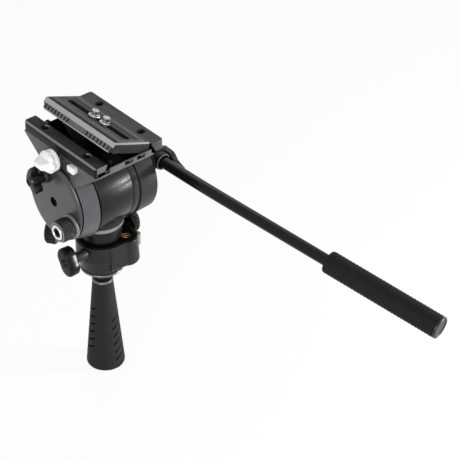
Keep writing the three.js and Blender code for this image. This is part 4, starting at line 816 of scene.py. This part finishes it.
def make_rails():
    """The two rails: the near one has a bevelled outer edge and a notch at its front end."""
    bevel = [(131.5, -38), (131.5, -36.45), (132.8, -35.15), (135, -35.15), (135, -38)]
    tools = [prism(bevel, -60, 60, "y"), block((-34.6, -50, 122), (-20, -43, 127.4))]
    near = refined("near_rail", "near_rail_bar", "tilt_frame", ANODISED_AND_GROOVE_SHADE, "dark_paint", 0.3, tools=tools)
    # The near rail's front end and notch faces are painted lighter grey: painted light on faces towards the
    # front.
    edge_faces(near, RAIL_END_LIT, lambda n, at: n.y < -0.9 and at.y < -45)
    # The near rail's outer chamfer is painted the lighter metal: a painted highlight.
    edge_faces(near, RAIL_EDGE_HIGHLIGHT, lambda n, at: n.x < -0.3 and n.z > 0.3 and at.z > 129)
    # The far rail is painted the lighter copy of the anodising as painted light; only its inner face keeps
    # the plain black.
    far = refined("far_rail", "far_rail_bar", "tilt_frame", FAR_RAIL_LIT, "dark_paint", 0.3)
    edge_faces(far, ANODISED_AND_GROOVE_SHADE, lambda n, at: n.x < -0.3)


def make_rail_screws():
    profile = filled([(1.6, 119.8), (1.6, 130.5), (3.3, 130.5), (3.3, 132.0), (1.9, 132.0), (1.6, 131.0)])
    for side, x in (("near", -29.75), ("far", 23.35)):
        for number, y in ((1, -26.5), (2, 26.5)):
            head = lathe(profile, "z", (x, y, 0), SMALL, 0.2)
            name, node = f"{side}_rail_bolt_{number}", f"{side}_rail_screw_{number}"
            dress(head, name, "tilt_frame", MATT_BLACK_AND_SHADE, "steel", node)


def make_front_lip():
    """The lip that joins the rails in front, with two long slots."""
    section = [(122.6, -26.0), (124.2, -26.0), (124.2, -22.4), (128.1, -22.4), (128.1, 18.2), (124.2, 18.2),
               (124.2, 20.0), (122.6, 20.0)]
    low, high, length, lean = 124.3, 127.4, 8.3, 0.6
    slots = []
    for x in (-8.4, 3.4):
        outline = [(low, x), (high, x + lean), (high, x + lean + length), (low, x + length)]
        slots.append(prism(outline, -50, -40, "y"))
    lip = soften(combine(prism(section, -46.05, -44.8, "y"), slots), 0.2)
    dress(lip, "platform_front_lip", "tilt_frame", LIP_PAINT, "black_paint")


def make_platform_fittings():
    refined("floor_pad", "channel_pad", "tilt_frame", GREY_PLASTIC, "grey_plastic", 0.25)
    refined("clamp_jaw", "jaw_block", "jaw", STEEL, "steel", 0.3)
    refined("release_button", "release_key", "button", WHITE_PLASTIC, "white_plastic", 0.5, 3)
    pin = rod(1.7, 119.3, 126.7, "z", CATCH, SMALL, 0.6)
    dress(pin, "safety_pin", "catch", DARK_STEEL, "bright", "catch_pin")


def make_clamp_knob():
    """The white knob that draws the jaw in: a fluted collar, a lobed disc and a wedge to hold it by."""
    start, disc, tip = KNOB_FACE_X, -48.4, -55.6
    flutes, flute_reach, bore_depth = 8, 10.4, 5.2
    profile = [(7.6, disc), (9.4, disc + 1.8), (9.6, disc + 2.8), (9.4, disc + 4.0), (8.2, disc + 4.5),
               (8.2, disc + 5.0), (9.0, start - 3.0), (9.2, start - 0.5), (8.8, start)]
    cutters = []
    for k in range(flutes):
        a = TURN * (k + 0.5) / flutes
        place = (0, CLAMP[1] + flute_reach * math.cos(a), CLAMP[2] + flute_reach * math.sin(a))
        cutters.append(rod(1.9, disc - 2, disc + 4.3, "x", place, 20))
    knob = combine(lathe(filled(profile), "x", CLAMP, ROUND, 0.35), cutters)
    # the wedge narrows towards its tip in width and in height: place, half width, lowest and highest
    rows = []
    for x, half, low, high in ((disc + 0.6, 7.5, -4.6, 3.9), (tip, 4.7, -1.6, 3.1)):
        corners = [(-half, low, x), (half, low, x), (half, high, x), (-half, high, x)]
        rows.append(onto_axis(corners, "x", CLAMP))
    knob = combine(knob, [soften(grid(rows), 0.45, 3, 30)], "UNION")
    knob = combine(knob, [rod(3.3, start - bore_depth, start + 3, "x", CLAMP)])
    dress(knob, "clamp_turn_knob", "clamp", WHITE_PLASTIC, "white_plastic", "clamp_knob", smooth=40)
    inner, outer = start - bore_depth + SEAM, start + SEAM
    stem = filled([(3.0, -27.45), (3.0, -34.0), (3.4, -34.55), (3.4, outer), (3.0, outer), (3.0, inner)])
    dress(lathe(stem, "x", CLAMP, SMALL), "clamp_shank", "clamp", STEEL, "steel", "clamp_stem")


def make_tilt_lock():
    face = wing_face(TILT_LOCK, TILT_KNOB_X)
    collar = [(6.4, KNOB_FACE_X), (6.4, KNOB_FACE_X - 1.6), (5.4, TILT_KNOB_X + SEAM)]
    make_lock("tilt_lock", TILT_LOCK, TILT_KNOB_X, face, WING_PLASTIC, PIN_X, collar,
              proud=0.4, slot_depth=0.6, facets=PLAIN, edge=0.3)


def make_tilt_drag():
    """A ribbed knob on a grey collar, with a bright face and a socket in it, lined in matt black as painted
    shade.
    """
    start, rim, teeth, depth = KNOB_FACE_X - 2.4, 9.3, 30, 0.6
    end = start - 12.0
    profile = [(3.9, end + 0.9), (6.7, end + 0.9), (7.1, end + 0.1), (7.9, end), (8.5, end + 0.5),
               (8.8, end + 1.6), (rim, end + 2.0), (rim, start - 2.2), (8.8, start - 1.8), (8.6, start),
               (3.9, start)]
    rows = ribbed_rows(profile, TILT_DRAG, teeth, depth, lambda r, along: r == rim)
    knob = combine(grid(rows), [rod(PIN_BORE, end - 3, start + 3, "x", TILT_DRAG)])
    dress(knob, "tilt_drag_grip", "tilt_drag", RIB_PLASTIC, "black_plastic", "tilt_drag_knob", smooth=30)
    edge_faces(knob, COLLAR_GREY, lambda n, at: n.x < -0.6 and at.x < end + 0.6
               and math.hypot(at.y - TILT_DRAG[1], at.z - TILT_DRAG[2]) > 6.9)
    low = KNOB_FACE_X - 2.1
    collar = [(2.6, low), (10.0, low), (10.2, low + 0.7), (10.2, KNOB_FACE_X), (2.6, KNOB_FACE_X)]
    collar = lathe(collar, "x", TILT_DRAG, FINE, 0.3)
    dress(collar, "tilt_drag_collar", "tilt_drag", COLLAR_GREY, "grey_plastic")
    face_x = end - SEAM - 0.5
    deep = face_x + 5.0
    face = [(2.2, PIN_X), (2.2, end + 0.5), (6.4, end + 0.5), (6.4, end - 0.2), (5.8, face_x), (4.7, face_x),
            (4.2, face_x + 0.5), (4.1, deep)]
    face = lathe(filled(face), "x", TILT_DRAG, PLAIN)
    dress(face, "tilt_drag_face", "tilt_drag", CHROME, "bright", "tilt_drag_spindle")
    # The hex socket is lined in matt black: painted shade inside the hole.
    socket = tube(2.6, 4.05, face_x + 0.7, deep - 0.05, "x", TILT_DRAG, 6)
    floor = rod(2.9, deep - 0.7, deep - 0.05, "x", TILT_DRAG, 6)
    dress(combine(socket, [floor], "UNION"), "tilt_drag_socket_painted_shade", "tilt_drag", MATT_BLACK_AND_SHADE, "black_plastic")


# Plate, in its own frame, then hinged into place
HALF_PLATE = 44.4
SIDE_FOOT, SIDE_RUN = (-42.2, 1.2), 8.194           # the near side's slope: its foot (x, z) and its length
SIDE_UP = (3.3 / SIDE_RUN, 7.5 / SIDE_RUN)
BAND_LOW, BAND_HIGH, BAND_DEPTH = 0.35, 4.0, 0.5    # the ribbed band up that slope, and its depth


def hinged(obj):
    obj.data.transform(Matrix.Translation(Vector(PIVOT) * MM) @ Matrix.Rotation(PLATE_TILT, 4, "Y"))
    return obj


def side_row(y, inner, outer):
    """The corners of the band on the plate's near side, between two distances out from the slope."""
    row = []
    for up, out in ((BAND_LOW, inner), (BAND_HIGH, inner), (BAND_HIGH, outer), (BAND_LOW, outer)):
        x = SIDE_FOOT[0] + SIDE_UP[0] * up - SIDE_UP[1] * out
        row.append((x, y, SIDE_FOOT[1] + SIDE_UP[1] * up + SIDE_UP[0] * out))
    return row


def side_strip(name, low_y, high_y, grooves):
    """A strip along the lower half of the near side, with upright grooves at the given places, painted
    darker in their middles as painted shade.
    """
    half_width, groove_shade_width, depth, step = 1.35, 0.837, 0.45, 0.15
    count = round((high_y - low_y) / step)
    rows = []
    for k in range(count + 1):
        y = low_y + (high_y - low_y) * k / count
        near = min([abs(y - place) / half_width for place in grooves] + [1.0])
        rows.append(side_row(y, -BAND_DEPTH - 0.2, -depth * swell(math.pi * near)))
    strip = grid(rows)
    dress(strip, name, "plate", PLATE_RIB, "dark_paint", smooth=60)
    # The middles of the grooves are painted darker: painted shade in the grooves.
    edge_faces(strip, ANODISED_AND_GROOVE_SHADE, lambda n, at: any(abs(at.y - place) < groove_shade_width for place in grooves))
    hinged(strip)


def end_piece(inner_y, end_y, foot_y):
    """One end of the near dovetail: it runs on to the plate's end, with its foot cut away on a slant."""
    turn_z, way = 5.6, math.copysign(1, end_y)
    section = [(0, -42.2), (1.2, -42.2), (8.7, -38.9), (8.7, -36.0), (0, -36.0)]
    far = end_y + 20 * way
    outline = [(far, -1.0), (foot_y, -1.0), (end_y + 0.8 * way, turn_z), (far, turn_z)]
    piece = prism(section, min(inner_y, end_y), max(inner_y, end_y), "y")
    return combine(piece, [prism(outline, -50, -30, "x")])


def plate_solid():
    """The plate of the CAD model, laid flat, with its near dovetail's ends, a recess, a line and a bevel."""
    front, rear = -HALF_PLATE, HALF_PLATE
    body = copied("plate_body")
    body.data.transform(Matrix.Rotation(-PLATE_TILT, 4, "Y") @ Matrix.Translation(-Vector(PIVOT) * MM))
    body = combine(body, [
        end_piece(-35.0, front, -41.0),
        end_piece(39.4, rear, 39.0),
        block((-36.2, -44.3, 0.3), (-30.0, -42.8, 3.8)),    # closes the catch's slot in front
    ], "UNION")
    bevel = [(front - 4, 7.5), (front, 7.5), (front + 1.3, 8.8), (front + 1.3, 12), (front - 4, 12)]
    return combine(body, [
        grid([side_row(y, -BAND_DEPTH, 2.0) for y in (front - 5, rear + 5)]),
        block((-38.3, front + 1.6, 8.0), (-37.0, rear + 5, 12)),
        prism(bevel, -60, 10, "x"),
    ])


def make_plate():
    body, front = soften(plate_solid(), 0.22), -HALF_PLATE
    dress(body, "camera_plate", "plate", PLATE_METAL, "dark_paint", "plate_body")
    slope = Vector((-SIDE_UP[1], 0, SIDE_UP[0]))
    edge_faces(body, PLATE_EDGE, lambda n, at: (n.dot(slope) > 0.9 and at.x < -38.5 and at.z > 4.9)
               or (n.x < -0.95 and at.x < -42.0))
    edge_faces(body, MATT_BLACK_AND_SHADE, lambda n, at: abs(n.y) < 0.5
               and -38.4 < at.x < -36.9 and 7.8 < at.z < 8.6)
    edge_faces(body, PLATE_LIP, lambda n, at: n.y < -0.5 and n.z > 0.4 and at.y < front + 1.6)
    # The plate's front end face is painted the darker copy of its anodising: painted shade.
    edge_faces(body, PLATE_END_SHADED, lambda n, at: n.y < -0.95 and at.y < front + 0.5)
    hinged(body)
    side_strip("plate_front_ribs", -42.0, -10.4, [-13.1 - 4.37 * k for k in range(8)])
    side_strip("plate_plain_side", -10.3, 8.6, [])
    side_strip("plate_rear_ribs", 8.7, 41.6, [11.4 + 4.02 * k for k in range(8)])
    refined("plate_pad", "plate_rubber", "plate", PAD_RUBBER, "rubber", 0.25)


def make_camera_screw(side, y, clip_turn):
    """A captive camera screw: threaded stud with a slot below and a socket above, held by a spring clip."""
    head, shank, low, tip, collar, socket = 6.0, 2.7, 1.1, 14.9, 9.0, 12.7
    at = (CAMERA_SCREW_X, y, 0)
    stud = filled([(head, low), (head, low + 3.0), (shank, low + 3.0), (shank, tip - 0.7), (2.1, tip),
                   (1.3, tip), (1.2, socket)])
    slot = block((at[0] - 0.7, y - 8, low - 2), (at[0] + 0.7, y + 8, low + 1))
    threads = []
    for k in range(5):
        z = collar + 1.4 + 0.8 * k
        threads.append(lathe([(2.5, z), (3.05, z + 0.4), (2.5, z + 0.8)], "z", at, PLAIN))
    screw = combine(combine(lathe(stud, "z", at, PLAIN, 0.15), [slot]), threads, "UNION")
    name, body, node = f"{side}_camera_bolt", f"{side}_screw", f"{side}_camera_screw"
    dress(hinged(screw), name, body, STUD_STEEL, "bright", node)
    # the clip is an open ring of wire round the stud
    wire, loop, open_turn, steps, up = 0.75, 4.2, math.radians(290), 36, Vector((0, 0, 1))
    rows = []
    for k in range(steps + 1):
        a = clip_turn + open_turn * k / steps
        out = Vector((math.cos(a), math.sin(a), 0))
        rows.append(hoop(Vector(at) + out * loop + up * (collar + wire), out, up, wire, 10))
    dress(hinged(grid(rows)), f"{side}_camera_clip", body, STUD_STEEL, "bright", smooth=60)


# Pan bar
def heading(out, down):
    """The way that runs forwards, some degrees outwards and downwards."""
    out, down = math.radians(out), math.radians(down)
    return Vector((math.sin(out) * math.cos(down), -math.cos(out) * math.cos(down), -math.sin(down)))


FIRST, SECOND = heading(4.3, 2.5), heading(13.5, 10.0)
BEND_REACH = 21.3
MOUTH = Vector(ROSETTE) + Vector((BAR_HUB_X + 5.7, -10.0, 0.8))
BEND_START = MOUTH + FIRST * 26.7
KNEE = BEND_START + FIRST * BEND_REACH
BEND_END = KNEE + SECOND * BEND_REACH
GRIP_START = BEND_END + SECOND * 97.6


def laid(obj, direction, start):
    """Lays a piece made along +Z onto a direction."""
    turn = direction.to_track_quat("Z", "Y").to_matrix().to_4x4()
    obj.data.transform(Matrix.Translation(start * MM) @ turn)
    return obj


def make_bar_tube():
    steps, facets, side = 24, 48, Vector((0, 0, 1))
    course = [MOUTH + FIRST * (SEAM - 6.5), MOUTH]
    course += [bent(BEND_START, KNEE, BEND_END, k / steps) for k in range(steps + 1)]
    course += [GRIP_START, GRIP_START + SECOND * (BAR_GRIP_LENGTH - 2.8)]
    rows = []
    for i, point in enumerate(course):
        ahead = (course[min(i + 1, len(course) - 1)] - course[max(i - 1, 0)]).normalized()
        across = side.cross(ahead).normalized()
        rows.append(hoop(point, across, ahead.cross(across), BAR_RADIUS, facets))
    dress(grid(rows), "pan_bar_tube", "pan_bar", GLOSS_TUBE, "dark_paint", "bar_tube")


def make_bar_grip():
    """The grip, with slanted rings all along it, and its end cap."""
    pitch, depth, slant, facets, step, length = 3.1, 0.34, 1.3, 96, 0.3, BAR_GRIP_LENGTH - 2.5
    stations = [(5.3, 0.0), (7.6, 0.0), (8.6, 0.3), (9.1, 1.0), (9.25, 2.0)]
    stations += [(BAR_GRIP_RADIUS, 3.0 + step * k) for k in range(int((length - 4.6) / step))]
    stations += [(9.25, length - 0.8), (9.0, length - 0.2), (8.6, length), (5.3, length)]
    rows = []
    for r, along in stations:
        cut = depth if r == BAR_GRIP_RADIUS else 0
        phases = [(along + slant * math.sin(a)) / pitch for a in angles(facets)]
        rows.append(ring([r - cut * swell(TURN * phase) ** 2 for phase in phases], along))
    grip = laid(combine(grid(rows), [rod(5.1, -5, 120, facets=40)]), SECOND, GRIP_START)
    dress(grip, "pan_bar_grip", "pan_bar", FOAM, "rubber", "bar_grip", smooth=50)
    low, face, end = length + 0.2, BAR_GRIP_LENGTH - 0.6, BAR_GRIP_LENGTH
    cap = filled([(8.9, low), (9.25, low + 0.6), (9.1, end - 0.4), (8.5, end), (8.0, end), (7.6, face)])
    cap = laid(lathe(cap, facets=PLAIN, edge=0.3), SECOND, GRIP_START)
    dress(cap, "pan_bar_cap", "pan_bar", CAP_PLASTIC, "grey_plastic", "bar_grip_cap")


def make_bar_hub():
    """The hub with the socket that holds the tube, the socket's pale mouth, and the rosette behind it."""
    near, far = BAR_HUB_X, BAR_HUB_X + BAR_HUB_DEPTH
    hub = lathe(filled([(8.4, near), (8.4, far)]), "x", ROSETTE, FINE, 0.9, 4)
    socket = lathe(filled([(6.9, -8.0), (7.3, -1.0), (7.0, 0.0)]), facets=PLAIN, edge=0.4)
    hub = combine(hub, [laid(socket, FIRST, MOUTH)], "UNION")
    bore = laid(rod(5.9, -6.5, 5, facets=40), FIRST, MOUTH)
    inward = block((30, -60, 60), (near, 20, 120))
    hub = combine(hub, [inward, bore])
    dress(hub, "bar_clamp_hub", "pan_bar", BLACK_PLASTIC, "black_plastic", "bar_clamp", smooth=40)
    mouth = laid(tube(6.0, 7.0, -0.2, 0.35, edge=0.15), FIRST, MOUTH)
    dress(mouth, "bar_clamp_mouth", "pan_bar", LIP_PAINT, "grey_plastic")
    profile = [(2.6, 34.3), (2.6, 39.9), (8.6, 39.9), (8.6, 41.4)]
    rosette = lathe(filled(profile), "x", ROSETTE, FINE, 0.2)
    dress(rosette, "rosette_disc", "tilt_frame", DARK_STEEL, "steel", "bar_rosette")


def make_bar_lever():
    start = BAR_HUB_X + BAR_HUB_DEPTH + SEAM
    end = start + 6.6
    boss = filled([(6.6, start), (6.9, start + 2.0), (6.2, end - 1.0), (4.6, end)])
    sweep = [(2.0, 6.0), (-5.7, 6.2), (-9.6, 5.6), (-12.4, 3.4), (-14.6, 0.4), (-18.0, -1.2), (-22.2, -2.6),
             (-24.8, -4.0), (-22.0, -5.6), (-15.5, -5.6), (-9.0, -5.8), (-3.0, -6.0), (2.0, -5.6)]
    cap = [(0, end - 1.5), (3.0, end - 1.5), (3.0, end + 0.8), (0, end + 1.6)]
    arm = prism(rounded(sweep, 1.6, 4, closed=True), end - 5.4, end - 1.0, "x", ROSETTE)
    lever = combine(lathe(boss, "x", ROSETTE, FINE, 0.6, 4), [
        soften(arm, 0.9, 3, 40),
        lathe(cap, "x", ROSETTE, SMALL, 0.5),
    ], "UNION")
    dress(lever, "bar_lock_lever", "bar_lever", LEVER_PLASTIC, "black_plastic", "bar_lever", smooth=40)


# Build
make_tie_down()
make_base()
make_base_cover()
make_accessory_thread()
make_drag_knob("side_drag", radius=11.8, start=30.4, thickness=7.3, place=(6.7, 26.4), stem_from=20.1)
make_drag_knob("front_drag", radius=11.0, start=36.2, thickness=9.3, place=(0.0, 26.4), stem_from=17.35,
               ribs=26, turn=math.radians(124.3))
make_pan_lock()
make_pedestal()
make_drum()
make_near_cheek()
make_end_cover()
make_far_cheek()
make_cover_screw()
make_platform_block()
make_rails()
make_rail_screws()
make_front_lip()
make_platform_fittings()
make_clamp_knob()
make_tilt_lock()
make_tilt_drag()
make_plate()
make_camera_screw("front", y=5.0, clip_turn=math.radians(100))
make_camera_screw("rear", y=-9.0, clip_turn=math.radians(-20))
make_bar_tube()
make_bar_grip()
make_bar_hub()
make_bar_lever()

# CAD nodes that stay as they are
INNER = {
    GREY_PLASTIC: ("level_cup",),
    VIAL: ("level_vial",),
    STEEL: ("base_stud", "tie_down_nut", "pan_shaft", "tilt_shaft", "counterbalance_spring",
            "drag_disc_fixed", "drag_disc_turning", "button_stop"),
    BRASS: ("pan_bearing_lower", "pan_bearing_upper", "pan_lock_shoe", "tilt_bush_near", "tilt_bush_far"),
}
for material, names in INNER.items():
    for name in names:
        nodes[name].data.materials.clear()
        nodes[name].data.materials.append(material)


# Light and floor
def area_light(name, place, aim, power, width, height):
    data = bpy.data.lights.new(name, "AREA")
    data.shape, data.size, data.size_y, data.energy = "RECTANGLE", width, height, power
    lamp = linked(name, data)
    lamp.location = Vector(place)
    lamp.visible_camera = False
    lamp.rotation_mode = "QUATERNION"
    lamp.rotation_quaternion = (Vector(place) - Vector(aim)).to_track_quat("Z", "Y")


def background_rays(tree):
    """One for the rays that show the background: straight, mirrored and through glass."""
    path = add_node(tree, "LightPath")
    total = path.outputs["Is Camera Ray"]
    for kind in ("Is Glossy Ray", "Is Transmission Ray"):
        total = add_node(tree, "Math", {0: total, 1: path.outputs[kind]}, operation="MAXIMUM").outputs[0]
    return total


def make_world():
    """Even, soft light on the object, and plain white behind it."""
    light_strength, white_strength, white = 0.45, 1.0, (1, 1, 1, 1)
    world = bpy.data.worlds.new("studio")
    bpy.context.scene.world = world
    world.use_nodes = True
    tree = world.node_tree
    tree.nodes.clear()
    lit = add_node(tree, "Background", {"Color": white, "Strength": light_strength})
    seen = add_node(tree, "Background", {"Color": white, "Strength": white_strength})
    mix = add_node(tree, "MixShader", {"Fac": background_rays(tree), 1: lit.outputs[0], 2: seen.outputs[0]})
    add_node(tree, "OutputWorld", {"Surface": mix.outputs[0]})


def make_floor():
    low, reach, glow_share = min(corner[2] for corner in CAD_BOX) - 0.0006, 6.0, 0.9
    mesh = bpy.data.meshes.new("floor")
    corners = [(-reach, -reach, low), (reach, -reach, low), (reach, reach, low), (-reach, reach, low)]
    mesh.from_pydata(corners, [], [(0, 1, 2, 3)])
    material, tree, shader = principled("pale_floor")
    feed(tree, shader, {"Base Color": (0.85, 0.85, 0.85, 1), "Roughness": 0.9})
    share = add_node(tree, "Math", {0: background_rays(tree), 1: glow_share}, operation="MULTIPLY")
    glow = add_node(tree, "Emission")
    blend = add_node(tree, "MixShader", {"Fac": share.outputs[0], 1: shader.outputs[0], 2: glow.outputs[0]})
    feed(tree, tree.nodes["Material Output"], {"Surface": blend.outputs[0]})
    mesh.materials.append(material)
    linked("floor", mesh)


area_light("left_box", (-0.75, -0.55, 0.4), (0, 0, 0.09), power=6.5, width=0.5, height=0.5)
area_light("right_strip", (0.755, -0.7, 0.1), (0, 0, 0.07), power=14.0, width=0.12, height=0.24)
area_light("top_box", (0.5, 0.45, 0.95), (0, 0, 0.08), power=1.5, width=0.5, height=0.5)
make_world()
make_floor()
bpy.context.scene.view_settings.view_transform = "Standard"
